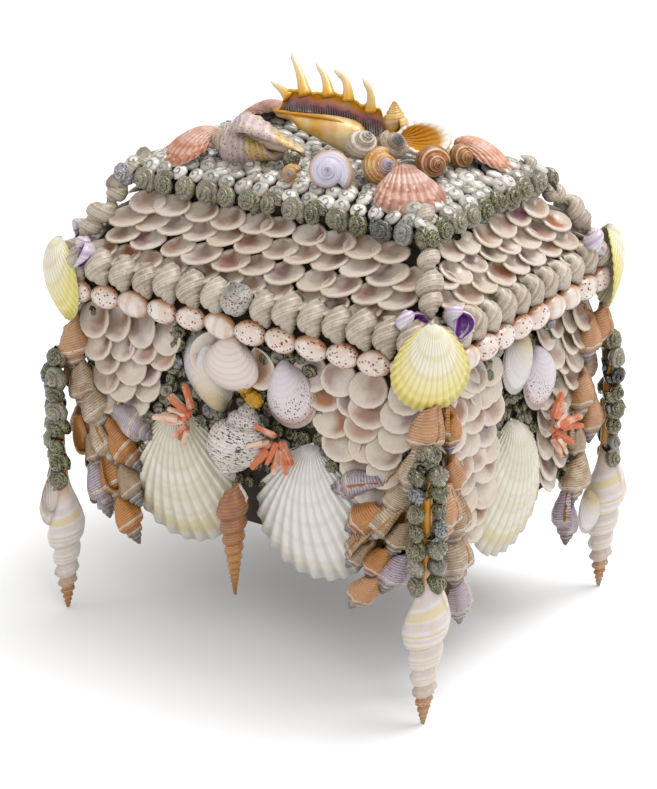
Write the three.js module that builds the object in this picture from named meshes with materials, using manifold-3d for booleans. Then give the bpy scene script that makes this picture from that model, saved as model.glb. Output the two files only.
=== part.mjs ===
// A shellwork box: a wooden casket with an overhanging hipped lid, covered with sea shells
// and standing on four long spindle shells. Millimetres, +Z up.
// The origin is on the table, under the middle of the box. The front faces -Y.

import * as THREE from 'three';
import { mergeVertices } from 'three/addons/utils/BufferGeometryUtils.js';
import Module from 'manifold-3d';

const wasm = await Module();
wasm.setup();
const { Manifold, Mesh: SolidMesh } = wasm;

// Wooden box
const BOX_WIDTH = 272;
const BOX_DEPTH = 206;
const BOX_BOTTOM = 100;
const BOX_HEIGHT = 136;
const BOX_WALL = 8;
const BOX_FLOOR = 8;

// Wooden lid: a hollow rim and hipped slope under a flat platform board
const RIM_OVERHANG = 7;
const RIM_HEIGHT = 14;
const SLOPE_HEIGHT = 55;
const PLATFORM_WIDTH = 224;
const PLATFORM_DEPTH = 136;
const PLATFORM_HEIGHT = 15;
const LID_WALL = 8;

// Small gap between pieces that touch, and the bed of putty that holds the small shells
const CLEARANCE = 0.3;
const SIMPLIFY = 0.08;
const BED_THICKNESS = 2.2;

// Spindle shells that are the legs, standing on their worn tips
const LEG_LENGTH = 184;
const LEG_RADIUS = 17.5;
const LEG_CANAL_RADIUS = 5;
const LEG_SPIRE = 82;
const LEG_FOOT_RADIUS = 2.6;
const LEG_WHORLS = 4;
const LEG_OFFSET_X = 12.6;
const LEG_OFFSET_Y = 17;

// Big scallops on the walls
const SCALLOP_WIDTH = 92;
const SCALLOP_HEIGHT = 98;
const SCALLOP_BULGE = 17;
const SCALLOP_RIBS = 12;
const SCALLOP_DROP = 64;
const SCALLOP_SPACING = 107;

// Long auger shell and the speckled turban in the middle of the front
const AUGER_LENGTH = 86;
const AUGER_RADIUS = 11.5;
const AUGER_DROP = 98;
const AUGER_STANDOFF = 18;
const AUGER_WHORLS = 5;
const AUGER_SPIRE_SHARE = 0.86;
const TURBAN_LENGTH = 64;
const TURBAN_RADIUS = 26;
const TURBAN_FLATNESS = 0.57;
const TURBAN_WHORLS = 2;
const TURBAN_OVERLAP = 6;
const TURBAN_OFFSET = 4;
const TURBAN_LEAN = 14;

// Clams in a bunch under the lid
const CLAM_WIDTH = 44;
const CLAM_HEIGHT = 40;
const CLAM_BULGE = 13;
const CLAM_DROP = 34;
const CLAM_SPREAD = 36;
const CLAM_LEAN = 30;
const CLAM_OFFSET = 4;
const LOW_CLAM_OFFSET = 14;
const LOW_CLAM_DROP = 46;
const LOW_CLAM_LEAN = 20;

// Thin saucer shells (tellins) in overlapping rows
const TELLIN_HEIGHT = 19;
const TELLIN_PITCH = 24;
const TELLIN_ROW_PITCH = 18;
const TELLIN_THICKNESS = 3;
const TELLIN_LEAN = 24;
const TELLIN_ROW_INSET = 4;
const BED_INSET = 2;
const BED_LOW_SHARE = 0.25;

// Fields of tellins on the walls beside the scallops
const WIDE_FIELD_WIDTH = 80;
const WIDE_FIELD_FOOT_WIDTH = 26;
const WIDE_FIELD_DROP = 86;
const WIDE_FIELD_FOOT_INSET = 16;
const NARROW_FIELD_WIDTH = 62;
const NARROW_FIELD_FOOT_WIDTH = 24;
const NARROW_FIELD_DROP = 128;
const NARROW_FIELD_FOOT_INSET = 54;
const FIELD_CORNER_INSET = 8;

// Rows round the lid: cowries on the rim, snails above them
const COWRIE_LENGTH = 23;
const COWRIE_HEIGHT = 14.5;
const COWRIE_DEPTH = 13;
const SNAIL_LENGTH = 25;
const SNAIL_DEPTH = 15;
const SNAIL_PITCH = 21;
const SNAIL_LEAN = 34;
const SNAIL_HEIGHT_ABOVE_RIM = 13;
const SNAIL_STANDOFF = 3;

// Periwinkles round the platform and button shells on top of it
const PERIWINKLE_RADIUS = 8.5;
const PERIWINKLE_PITCH = 16.4;
const PERIWINKLE_DROP = 6;
const BUTTON_RADIUS = 6.6;
const BUTTON_HEIGHT = 4.6;
const BUTTON_PITCH = 13;
const BUTTON_INSET = 1;

// Yellow cockle on each corner of the lid
const COCKLE_WIDTH = 52;
const COCKLE_HEIGHT = 62;
const COCKLE_BULGE = 15;
const COCKLE_RIBS = 10;
const COCKLE_RISE = 27;
const COCKLE_STANDOFF = 10.5;

// Half cockles that lie on the platform, one near each corner
const FAN_WIDTH = 48;
const FAN_HEIGHT = 42;
const FAN_BULGE = 10;
const FAN_RIBS = 7;
const FAN_INSET_X = 38;
const FAN_INSET_Y = 36;
const FAN_LEAN = 70;

// Small conchs (strombs) that hang beside the legs
const STROMB_LENGTH = 44;
const STROMB_RADIUS = 9.5;
const OUTER_STROMB_DROP = 156;
const OUTER_STROMB_PITCH = 32;
const OUTER_STROMB_INSET = 35;
const OUTER_STROMB_SLANT = 6.5;
const OUTER_STROMB_SWING = 20;
const INNER_STROMB_DROP = 172;
const INNER_STROMB_PITCH = 29;
const INNER_STROMB_INSET = 61;
const INNER_STROMB_SLANT = 3;
const INNER_STROMB_SWING = 45;
const NARROW_STROMB_DROP = 188;
const NARROW_STROMB_PITCH = 30.5;
const NARROW_STROMB_INSET = 44.5;
const NARROW_STROMB_SWING = 6;
const WIDE_STROMBS = 3;
const NARROW_STROMBS = 4;

// Shells heaped on the platform
const CONCH_LENGTH = 84;
const CONCH_RADIUS = 21;
const CONCH_LIP_WIDTH = 74;
const CONCH_LIP_RISE = 27;
const CONCH_LIP_THICKNESS = 6;
const CONCH_LIP_LEAN = 8;
const CONCH_SPINE_LENGTH = 27;
const CONCH_SPINE_SHORTER = 0.75;
const CONCH_SPINE_WIDTH = 7;
const CONCH_SPINE_HOOK = 0.35;
const CONCH_SPINES = 4;
const CONCH_TURN = 24;
const CONCH_LIP_EDGE = 1.5;
const KNOBBED_CONCH_LENGTH = 64;
const KNOBBED_CONCH_RADIUS = 19;
const MOON_RADIUS = 15.5;
const ORANGE_TURBAN_RADIUS = 15;
const BROWN_TURBAN_RADIUS = 14;
const YELLOW_SHELL_LENGTH = 50;
const YELLOW_SHELL_RADIUS = 17;

// Where each shell of the heap lies, as shares of the platform's half width and half depth
const HEAP_PLACES = {
  spider_conch: [-0.07, 0.147],
  knobbed_conch: [-0.393, -0.47],
  moon_shell: [0.214, -0.706],
  orange_turban: [0.482, -0.441],
  brown_turban: [0.661, 0.03],
  yellow_shell: [0.464, 0.412],
};

// Proportions of every coiled shell: its seams and the swell of its last whorl
const SEAM_DROP_SHARE = 0.62;
const SEAM_RADIUS_SHARE = 0.78;
const SHOULDER_SHARE = 0.22;
const SHOULDER_RADIUS_SHARE = 0.82;
const WAIST_SHARE = 0.5;
const WAIST_RADIUS_SHARE = 0.25;

// How finely round shells are faceted
const LEG_SIDES = 8;
const ROUND_SIDES = 7;
const SMALL_SIDES = 5;
const ROW_SIDES = 4;

// Share of a row's pitch by which its end tapers
const ROW_END_SHARE = 0.06;

// Heights and half sizes that follow from the sizes above
const boxTop = BOX_BOTTOM + BOX_HEIGHT - CLEARANCE;
const rimBottom = BOX_BOTTOM + BOX_HEIGHT;
const rimTop = rimBottom + RIM_HEIGHT;
const slopeTop = rimTop + SLOPE_HEIGHT;
const platformTop = slopeTop + PLATFORM_HEIGHT;
const boxHalfX = BOX_WIDTH / 2;
const boxHalfY = BOX_DEPTH / 2;
const rimHalfX = boxHalfX + RIM_OVERHANG;
const rimHalfY = boxHalfY + RIM_OVERHANG;
const platformHalfX = PLATFORM_WIDTH / 2;
const platformHalfY = PLATFORM_DEPTH / 2;
const legX = boxHalfX + LEG_OFFSET_X;
const legY = boxHalfY + LEG_OFFSET_Y;
const degrees = 180 / Math.PI;

// The four sides of the box. In a side's own frame the wall faces -Y and X runs along it.
const sides = [
  { name: 'front', turn: 0, wide: true, half: boxHalfX, out: boxHalfY, rimHalf: rimHalfX,
    rimOut: rimHalfY, platformHalf: platformHalfX, platformOut: platformHalfY, legAlong: legX },
  { name: 'right', turn: 90, wide: false, half: boxHalfY, out: boxHalfX, rimHalf: rimHalfY,
    rimOut: rimHalfX, platformHalf: platformHalfY, platformOut: platformHalfX, legAlong: legY },
  { name: 'back', turn: 180, wide: true, half: boxHalfX, out: boxHalfY, rimHalf: rimHalfX,
    rimOut: rimHalfY, platformHalf: platformHalfX, platformOut: platformHalfY, legAlong: legX },
  { name: 'left', turn: 270, wide: false, half: boxHalfY, out: boxHalfX, rimHalf: rimHalfY,
    rimOut: rimHalfX, platformHalf: platformHalfY, platformOut: platformHalfX, legAlong: legY },
];

const paints = {
  wood: { color: 0x3a2a1e, roughness: 0.85, metalness: 0 },
  scallop: { color: 0xf1ebdd, roughness: 0.5, metalness: 0 },
  spindle: { color: 0xe9e2e6, roughness: 0.35, metalness: 0 },
  auger: { color: 0xb37a55, roughness: 0.4, metalness: 0 },
  turban: { color: 0xd9cfc4, roughness: 0.45, metalness: 0 },
  clam: { color: 0xf0e8e0, roughness: 0.4, metalness: 0 },
  tellin: { color: 0xe6d8cc, roughness: 0.35, metalness: 0 },
  stromb: { color: 0xb98a5e, roughness: 0.4, metalness: 0 },
  cowrie: { color: 0xf0e2d2, roughness: 0.25, metalness: 0 },
  snail: { color: 0xb8a793, roughness: 0.5, metalness: 0 },
  periwinkle: { color: 0x5f5f3c, roughness: 0.3, metalness: 0 },
  button: { color: 0xc9c3b6, roughness: 0.3, metalness: 0 },
  cockle: { color: 0xf2e08a, roughness: 0.45, metalness: 0 },
  fan: { color: 0xd8a08c, roughness: 0.5, metalness: 0 },
  conch: { color: 0xe2b46c, roughness: 0.35, metalness: 0 },
  knobbed: { color: 0xe0cdbb, roughness: 0.5, metalness: 0 },
  moon: { color: 0xd9d3e6, roughness: 0.4, metalness: 0 },
  orangeTurban: { color: 0xcf9a5c, roughness: 0.45, metalness: 0 },
  yellowShell: { color: 0xe3b35a, roughness: 0.4, metalness: 0 },
};

// Turns a closed three.js geometry into a solid.
function solidOf(geometry) {
  const bare = geometry.clone();
  bare.deleteAttribute('normal');
  bare.deleteAttribute('uv');
  const merged = mergeVertices(bare, 1e-3);
  const corners = merged.index.array;
  const triangles = [];
  for (let i = 0; i < corners.length; i += 3) {
    const [a, b, c] = [corners[i], corners[i + 1], corners[i + 2]];
    if (a !== b && b !== c && c !== a) {
      triangles.push(a, b, c);
    }
  }
  return new Manifold(new SolidMesh({
    numProp: 3,
    vertProperties: new Float32Array(merged.attributes.position.array),
    triVerts: new Uint32Array(triangles),
  }));
}

// Turns a solid back into a three.js geometry with flat facets.
function geometryOf(solid) {
  const mesh = solid.getMesh();
  const geometry = new THREE.BufferGeometry();
  geometry.setAttribute('position', new THREE.BufferAttribute(new Float32Array(mesh.vertProperties), 3));
  geometry.setIndex(new THREE.BufferAttribute(new Uint32Array(mesh.triVerts), 1));
  const faceted = geometry.toNonIndexed();
  faceted.computeVertexNormals();
  return faceted;
}

const union = (solids) => Manifold.union(solids);

// A rectangular block between two heights, centred on the Z axis, which can taper upwards.
function block(halfX, halfY, bottom, top, topHalfX = halfX, topHalfY = halfY) {
  const geometry = new THREE.BoxGeometry(2, 2, 1);
  const position = geometry.attributes.position;
  for (let i = 0; i < position.count; i += 1) {
    const upper = position.getZ(i) > 0;
    position.setXYZ(
      i,
      position.getX(i) * (upper ? topHalfX : halfX),
      position.getY(i) * (upper ? topHalfY : halfY),
      upper ? top : bottom,
    );
  }
  return solidOf(geometry);
}

// A solid of revolution about Z from a profile of [radius, height] pairs, bottom to top.
function turned(profile, sideCount) {
  const points = profile.map(([radius, height]) => new THREE.Vector2(radius, height));
  return solidOf(new THREE.LatheGeometry(points, sideCount)).rotate([90, 0, 0]);
}

// A coiled shell with its apex at the origin and its mouth end up +Z. The whorls step
// outwards along the spire, then the last whorl narrows to the canal.
function coiledShell({ length, radius, spire, whorls, canalRadius, tipRadius = 0, sideCount }) {
  const profile = tipRadius > 0 ? [[0, 0], [tipRadius, 0]] : [[0, 0]];
  for (let whorl = 1; whorl <= whorls; whorl += 1) {
    const share = whorl / whorls;
    const whorlRadius = tipRadius + (radius - tipRadius) * share;
    const seam = spire * (share - SEAM_DROP_SHARE / whorls);
    profile.push([whorlRadius * SEAM_RADIUS_SHARE, seam]);
    profile.push([whorlRadius, spire * share]);
  }
  const rest = length - spire;
  profile.push([radius * SHOULDER_RADIUS_SHARE, spire + rest * SHOULDER_SHARE]);
  profile.push([canalRadius + (radius - canalRadius) * WAIST_RADIUS_SHARE, spire + rest * WAIST_SHARE]);
  profile.push([canalRadius, length]);
  profile.push([0, length]);
  return turned(profile, sideCount);
}

// One valve of a ribbed or smooth two-sided shell. The hinge is at the origin, the valve
// hangs down -Z, its outside bulges to -Y and its back is flat.
function valve({ width, height, bulge, ribs = 0, ribRise = 0.12, rows = 3, spread = 1.05 }) {
  const columns = ribs > 0 ? ribs * 2 : 6;
  const halfWidth = width / 2;
  const halfHeight = height / 2;
  const margin = (angle) => (2 * Math.cos(angle) / halfHeight)
    / ((Math.sin(angle) / halfWidth) ** 2 + (Math.cos(angle) / halfHeight) ** 2);
  const sheet = (domed) => {
    const geometry = new THREE.PlaneGeometry(1, 1, columns, rows);
    const position = geometry.attributes.position;
    for (let i = 0; i < position.count; i += 1) {
      const across = position.getX(i) + 0.5;
      const along = 0.5 - position.getY(i);
      const angle = (across - 0.5) * 2 * spread;
      const crest = ribs > 0 ? Math.cos(across * columns * Math.PI) : 0;
      const reach = along * margin(angle) * (1 + 0.02 * crest * along);
      const dome = Math.sqrt(Math.max(0, Math.sin(Math.PI * along ** 0.75)))
        * Math.max(0, Math.cos((across - 0.5) * Math.PI)) ** 0.6;
      const rise = domed ? bulge * dome * (1 - ribRise * (1 - crest) / 2) : 0;
      position.setXYZ(i, reach * Math.sin(angle), -rise, -reach * Math.cos(angle));
    }
    if (!domed) {
      const order = geometry.index.array;
      for (let i = 0; i < order.length; i += 3) {
        [order[i], order[i + 1]] = [order[i + 1], order[i]];
      }
    }
    return geometry.toNonIndexed();
  };
  const corners = [sheet(true), sheet(false)].flatMap((half) => [...half.attributes.position.array]);
  const closed = new THREE.BufferGeometry();
  closed.setAttribute('position', new THREE.BufferAttribute(new Float32Array(corners), 3));
  return solidOf(closed).simplify(SIMPLIFY);
}

// A row of round shells side by side along X, each swelling to the full size and narrowing
// to the seam where it touches the next.
function shellRow({ length, pitch, depth, height, seamShare }) {
  const count = Math.max(2, Math.round(length / pitch));
  const step = length / count;
  const profile = [[0, -length / 2]];
  for (let i = 0; i < count; i += 1) {
    const left = i * step - length / 2;
    profile.push([seamShare / 2, left + step * ROW_END_SHARE]);
    profile.push([0.5, left + step / 2]);
  }
  profile.push([seamShare / 2, length / 2 - step * ROW_END_SHARE]);
  profile.push([0, length / 2]);
  return turned(profile, ROW_SIDES).rotate([0, 90, 0]).scale([1, depth, height]);
}

// A plain low shell for the small shells in rows, apex at the origin and mouth end up +Z.
function plainShell(length, radius, widestShare) {
  return turned([[0, 0], [radius, length * widestShare], [radius * 0.45, length], [0, length]], SMALL_SIDES);
}

// The room a solid takes up: its hull, grown by the clearance towards the corners of a
// tetrahedron, so that it clears the solid on every side.
function roomOf(solid) {
  const ways = [[1, 1, 1], [1, -1, -1], [-1, 1, -1], [-1, -1, 1]];
  return Manifold.hull(ways.map((way) => solid.translate(way.map((step) => step * CLEARANCE))));
}

const group = new THREE.Group();
const built = [];

// Adds a named piece made of parts in the frame of a side. Earlier pieces keep their room:
// they are cut out of this one, and crumbs that the cut frees are left off.
function addPiece(name, parts, paint, turn = 0, rooms = null) {
  let solid = union(parts.map((part) => part.rotate([0, 0, turn])));
  const { min, max } = solid.boundingBox();
  for (const earlier of built) {
    const meets = min.every((low, axis) => low < earlier.max[axis] && max[axis] > earlier.min[axis]);
    if (meets) {
      solid = solid.subtract(earlier.room);
    }
  }
  const bodies = solid.decompose().sort((one, other) => other.volume() - one.volume());
  const trimmed = bodies[0].simplify(SIMPLIFY);
  const room = union((rooms ?? parts.map(roomOf)).map((part) => part.rotate([0, 0, turn])));
  const box = room.boundingBox();
  built.push({ room, min: box.min, max: box.max });
  const local = trimmed.rotate([0, 0, -turn]);
  const mesh = new THREE.Mesh(geometryOf(local), new THREE.MeshStandardMaterial(paints[paint]));
  mesh.name = name;
  mesh.rotation.z = turn / degrees;
  group.add(mesh);
}

// Wooden box, open at the top
function addBox() {
  const outside = block(boxHalfX, boxHalfY, BOX_BOTTOM, boxTop);
  const inside = block(boxHalfX - BOX_WALL, boxHalfY - BOX_WALL, BOX_BOTTOM + BOX_FLOOR, rimTop);
  addPiece('box_carcass', [outside.subtract(inside)], 'wood');
}

// Wooden lid, hollow up to its platform board, which rests on top of the box walls
function addLid() {
  const tiers = [
    block(rimHalfX, rimHalfY, rimBottom, rimTop),
    block(rimHalfX, rimHalfY, rimTop, slopeTop, platformHalfX, platformHalfY),
    block(platformHalfX, platformHalfY, slopeTop, platformTop),
  ];
  const hollowX = boxHalfX - BOX_WALL;
  const hollowY = boxHalfY - BOX_WALL;
  const hollowTopX = platformHalfX - LID_WALL;
  const hollowTopY = platformHalfY - LID_WALL;
  const inside = union([
    block(hollowX, hollowY, BOX_BOTTOM, rimTop),
    block(hollowX, hollowY, rimTop, slopeTop, hollowTopX, hollowTopY),
  ]);
  addPiece('lid_carcass', [union(tiers).subtract(inside)], 'wood', 0, tiers.map(roomOf));
}

// Spindle shells under the corners, tip down
function addLegs() {
  for (const [endName, signY] of [['front', -1], ['back', 1]]) {
    for (const [sideName, signX] of [['left', -1], ['right', 1]]) {
      const leg = coiledShell({
        length: LEG_LENGTH,
        radius: LEG_RADIUS,
        spire: LEG_SPIRE,
        whorls: LEG_WHORLS,
        canalRadius: LEG_CANAL_RADIUS,
        tipRadius: LEG_FOOT_RADIUS,
        sideCount: LEG_SIDES,
      });
      addPiece(`leg_spindle_${endName}_${sideName}`, [leg.translate([signX * legX, signY * legY, 0])], 'spindle');
    }
  }
}

// Big scallops on the walls: two on the wide sides, one on the narrow sides
function addScallops(side) {
  const places = side.wide ? [['left', -SCALLOP_SPACING / 2], ['right', SCALLOP_SPACING / 2]] : [['middle', 0]];
  for (const [placeName, along] of places) {
    const shell = valve({
      width: SCALLOP_WIDTH,
      height: SCALLOP_HEIGHT,
      bulge: SCALLOP_BULGE,
      ribs: SCALLOP_RIBS,
    });
    const placed = shell.translate([along, -side.out - CLEARANCE, boxTop - SCALLOP_DROP]);
    addPiece(`scallop_${side.name}_${placeName}`, [placed], 'scallop', side.turn);
  }
}

// The auger and the speckled turban shell between the two front scallops
function addFrontMiddle(side) {
  const auger = coiledShell({
    length: AUGER_LENGTH,
    radius: AUGER_RADIUS,
    spire: AUGER_LENGTH * AUGER_SPIRE_SHARE,
    whorls: AUGER_WHORLS,
    canalRadius: AUGER_RADIUS * 0.4,
    sideCount: ROUND_SIDES,
  });
  const augerTop = boxTop - AUGER_DROP;
  const augerPlace = [0, -side.out - AUGER_STANDOFF, augerTop - AUGER_LENGTH];
  addPiece('auger_front', [auger.translate(augerPlace)], 'auger', side.turn);
  const turban = coiledShell({
    length: TURBAN_LENGTH,
    radius: TURBAN_RADIUS,
    spire: TURBAN_LENGTH * 0.55,
    whorls: TURBAN_WHORLS,
    canalRadius: TURBAN_RADIUS * 0.5,
    sideCount: ROUND_SIDES,
  });
  const leaning = turban.rotate([180, -TURBAN_LEAN, 0]).scale([1, TURBAN_FLATNESS, 1]);
  const turbanOut = side.out + BED_THICKNESS + TURBAN_RADIUS * TURBAN_FLATNESS;
  const turbanPlace = [-TURBAN_OFFSET, -turbanOut, augerTop + TURBAN_LENGTH - TURBAN_OVERLAP];
  addPiece('turban_front', [leaning.translate(turbanPlace)], 'turban', side.turn);
}

// Clams in a bunch under the lid, above the scallops
function addClams(side) {
  const clam = (across, height, lean) => valve({
    width: CLAM_WIDTH,
    height: CLAM_HEIGHT,
    bulge: CLAM_BULGE,
  }).translate([0, 0, CLAM_HEIGHT / 2]).rotate([0, lean, 0])
    .translate([across, -side.out - CLEARANCE - BED_THICKNESS, height]);
  const upper = boxTop - CLAM_HEIGHT / 2 - CLEARANCE;
  const middle = boxTop - CLAM_DROP;
  const top = clam(-CLAM_OFFSET, upper, 0);
  const parts = side.wide
    ? [clam(-CLAM_SPREAD, middle, -CLAM_LEAN), clam(CLAM_SPREAD, middle, CLAM_LEAN), top]
    : [top, clam(LOW_CLAM_OFFSET, boxTop - LOW_CLAM_DROP, LOW_CLAM_LEAN)];
  addPiece(`clams_${side.name}`, parts, 'clam', side.turn);
}

// A row of thin saucer shells side by side, hung from a straight upper edge on the X axis.
// The lower edge is scalloped and leans out to -Y.
function tellinRow(length) {
  const count = Math.max(1, Math.round(length / TELLIN_PITCH));
  const step = length / count;
  const notch = TELLIN_HEIGHT * 0.55;
  const outline = new THREE.Shape();
  outline.moveTo(length / 2, 0);
  outline.lineTo(-length / 2, 0);
  outline.lineTo(-length / 2, -notch);
  for (let i = 0; i < count; i += 1) {
    const left = i * step - length / 2;
    outline.lineTo(left + step * 0.3, -TELLIN_HEIGHT);
    outline.lineTo(left + step * 0.7, -TELLIN_HEIGHT);
    outline.lineTo(left + step, -notch);
  }
  outline.closePath();
  const sheet = solidOf(new THREE.ExtrudeGeometry(outline, { depth: TELLIN_THICKNESS, bevelEnabled: false }));
  return sheet.rotate([90, 0, 0]).rotate([-TELLIN_LEAN, 0, 0]);
}

// Overlapping tellins on a wall beside the scallops, wide at the top and narrow at the foot
function addWallTellins(side, endName, sign) {
  const width = side.wide ? WIDE_FIELD_WIDTH : NARROW_FIELD_WIDTH;
  const footWidth = side.wide ? WIDE_FIELD_FOOT_WIDTH : NARROW_FIELD_FOOT_WIDTH;
  const drop = side.wide ? WIDE_FIELD_DROP : NARROW_FIELD_DROP;
  const footInset = side.wide ? WIDE_FIELD_FOOT_INSET : NARROW_FIELD_FOOT_INSET;
  const top = boxTop - CLEARANCE;
  const outer = side.half - FIELD_CORNER_INSET;
  const outerAt = (share) => outer - footInset * share;
  const innerAt = (share) => outer - width + (width - footInset - footWidth) * share;
  const outline = new THREE.Shape();
  outline.moveTo(outerAt(0), top);
  outline.lineTo(innerAt(0), top);
  outline.lineTo(innerAt(1), top - drop);
  outline.lineTo(outerAt(1), top - drop);
  outline.closePath();
  const plate = solidOf(new THREE.ExtrudeGeometry(outline, { depth: BED_THICKNESS, bevelEnabled: false }));
  const parts = [plate.rotate([90, 0, 0]).translate([0, -side.out - CLEARANCE, 0])];
  const rowCount = Math.floor(drop / TELLIN_ROW_PITCH);
  for (let row = 0; row < rowCount; row += 1) {
    const height = top - CLEARANCE - row * TELLIN_ROW_PITCH;
    const share = (top - height + TELLIN_HEIGHT / 2) / drop;
    const room = outerAt(share) - innerAt(share);
    const middle = (outerAt(share) + innerAt(share)) / 2;
    parts.push(tellinRow(room).translate([middle, -side.out - CLEARANCE, height]));
  }
  const handed = sign > 0 ? parts : parts.map((part) => part.mirror([1, 0, 0]));
  addPiece(`wall_tellins_${side.name}_${endName}`, handed, 'tellin', side.turn);
}

// A cluster of small conchs beside a leg, spires down and towards the middle of the wall
function addStrombs(side, endName, sign) {
  const stromb = (along, height, swing) => plainShell(STROMB_LENGTH, STROMB_RADIUS, 0.45)
    .rotate([0, swing, 0]).translate([along, -side.out - STROMB_RADIUS - CLEARANCE, height]);
  const column = ({ count, drop, pitch, inset, slant, swing }) => {
    const members = [];
    for (let i = 0; i < count; i += 1) {
      members.push(stromb(side.legAlong - inset + slant * i, boxTop - drop + pitch * i, swing));
    }
    return members;
  };
  const parts = side.wide
    ? [
      ...column({ count: WIDE_STROMBS, drop: OUTER_STROMB_DROP, pitch: OUTER_STROMB_PITCH,
        inset: OUTER_STROMB_INSET, slant: OUTER_STROMB_SLANT, swing: OUTER_STROMB_SWING }),
      ...column({ count: WIDE_STROMBS, drop: INNER_STROMB_DROP, pitch: INNER_STROMB_PITCH,
        inset: INNER_STROMB_INSET, slant: INNER_STROMB_SLANT, swing: INNER_STROMB_SWING }),
    ]
    : column({ count: NARROW_STROMBS, drop: NARROW_STROMB_DROP, pitch: NARROW_STROMB_PITCH,
      inset: NARROW_STROMB_INSET, slant: 0, swing: NARROW_STROMB_SWING });
  const handed = sign > 0 ? parts : parts.map((part) => part.mirror([1, 0, 0]));
  addPiece(`strombs_${side.name}_${endName}`, handed, 'stromb', side.turn);
}

// Cowries end to end along the rim of the lid
function addCowries(side) {
  const row = shellRow({
    length: 2 * side.rimHalf - 2 * CLEARANCE,
    pitch: COWRIE_LENGTH,
    depth: COWRIE_DEPTH,
    height: COWRIE_HEIGHT,
    seamShare: 0.6,
  });
  const out = side.rimOut + CLEARANCE + COWRIE_DEPTH / 2;
  const placed = row.translate([0, -out, rimBottom + COWRIE_HEIGHT / 2 - CLEARANCE]);
  addPiece(`cowries_${side.name}`, [placed], 'cowrie', side.turn);
}

// Snails side by side above the cowries, on the foot of the slope
function addSnails(side) {
  const row = shellRow({
    length: 2 * side.rimHalf - 2 * CLEARANCE,
    pitch: SNAIL_PITCH,
    depth: SNAIL_DEPTH,
    height: SNAIL_LENGTH,
    seamShare: 0.7,
  });
  const placed = row.rotate([-SNAIL_LEAN, 0, 0]).translate([0, -side.rimOut - SNAIL_STANDOFF, rimTop + SNAIL_HEIGHT_ABOVE_RIM]);
  addPiece(`snails_${side.name}`, [placed], 'snail', side.turn);
}

// Overlapping rows of tellins on one slope of the lid, with the putty bed under them
function addLidTellins(side) {
  const run = side.rimOut - side.platformOut;
  const slant = Math.atan2(SLOPE_HEIGHT, run) * degrees;
  const slopeLength = Math.hypot(run, SLOPE_HEIGHT);
  const halfAt = (share) => side.rimHalf + (side.platformHalf - side.rimHalf) * share;
  const outline = new THREE.Shape();
  outline.moveTo(-halfAt(BED_LOW_SHARE) + BED_INSET, BED_LOW_SHARE * slopeLength);
  outline.lineTo(halfAt(BED_LOW_SHARE) - BED_INSET, BED_LOW_SHARE * slopeLength);
  outline.lineTo(halfAt(1) - BED_INSET, slopeLength);
  outline.lineTo(-halfAt(1) + BED_INSET, slopeLength);
  outline.closePath();
  const plate = solidOf(new THREE.ExtrudeGeometry(outline, { depth: BED_THICKNESS, bevelEnabled: false }));
  const parts = [plate.translate([0, 0, CLEARANCE])];
  const rowCount = Math.round(slopeLength * (1 - BED_LOW_SHARE) / TELLIN_ROW_PITCH);
  for (let row = 0; row < rowCount; row += 1) {
    const up = slopeLength - CLEARANCE - row * TELLIN_ROW_PITCH;
    const length = 2 * (halfAt(up / slopeLength) - TELLIN_ROW_INSET);
    parts.push(tellinRow(length).rotate([-90, 0, 0]).translate([0, up, CLEARANCE]));
  }
  const placed = parts.map((part) => part.rotate([slant, 0, 0]).translate([0, -side.rimOut, rimTop]));
  addPiece(`lid_tellins_${side.name}`, placed, 'tellin', side.turn);
}

// Periwinkles side by side all round the platform's edge
function addPeriwinkles() {
  const diameter = PERIWINKLE_RADIUS * 2;
  const rows = sides.map((side) => shellRow({
    length: 2 * side.platformHalf + diameter,
    pitch: PERIWINKLE_PITCH,
    depth: diameter,
    height: diameter,
    seamShare: 0.6,
  }).translate([0, -side.platformOut - PERIWINKLE_RADIUS - CLEARANCE, platformTop - PERIWINKLE_DROP])
    .rotate([0, 0, side.turn]));
  addPiece('periwinkle_ring', rows, 'periwinkle');
}

// Button shells round the top of the platform, on their bed
function addButtons() {
  const floor = platformTop + CLEARANCE;
  const parts = [block(platformHalfX - BUTTON_INSET, platformHalfY - BUTTON_INSET, floor, floor + BED_THICKNESS)];
  for (const side of sides) {
    const length = 2 * side.platformHalf - BUTTON_RADIUS * 2;
    const count = Math.round(length / BUTTON_PITCH);
    for (let i = 0; i < count; i += 1) {
      const button = turned([[0, 0], [BUTTON_RADIUS, 0], [0, BUTTON_HEIGHT + BED_THICKNESS / 2]], ROW_SIDES);
      const along = (i + 0.5) * length / count - length / 2;
      const across = BUTTON_RADIUS + BUTTON_INSET - side.platformOut;
      parts.push(button.translate([along, across, floor + BED_THICKNESS / 2]).rotate([0, 0, side.turn]));
    }
  }
  addPiece('platform_buttons', parts, 'button');
}

// A yellow cockle hung on each corner of the lid, hinge up
function addCockles() {
  for (const [endName, signY] of [['front', -1], ['back', 1]]) {
    for (const [sideName, signX] of [['left', -1], ['right', 1]]) {
      const shell = valve({
        width: COCKLE_WIDTH,
        height: COCKLE_HEIGHT,
        bulge: COCKLE_BULGE,
        ribs: COCKLE_RIBS,
        spread: 1.2,
      });
      const turn = Math.atan2(signX, -signY) * degrees;
      const step = COCKLE_STANDOFF / Math.SQRT2;
      const place = [signX * (rimHalfX + step), signY * (rimHalfY + step), rimTop + COCKLE_RISE];
      addPiece(`cockle_${endName}_${sideName}`, [shell.rotate([0, 0, turn]).translate(place)], 'cockle');
    }
  }
}

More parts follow.
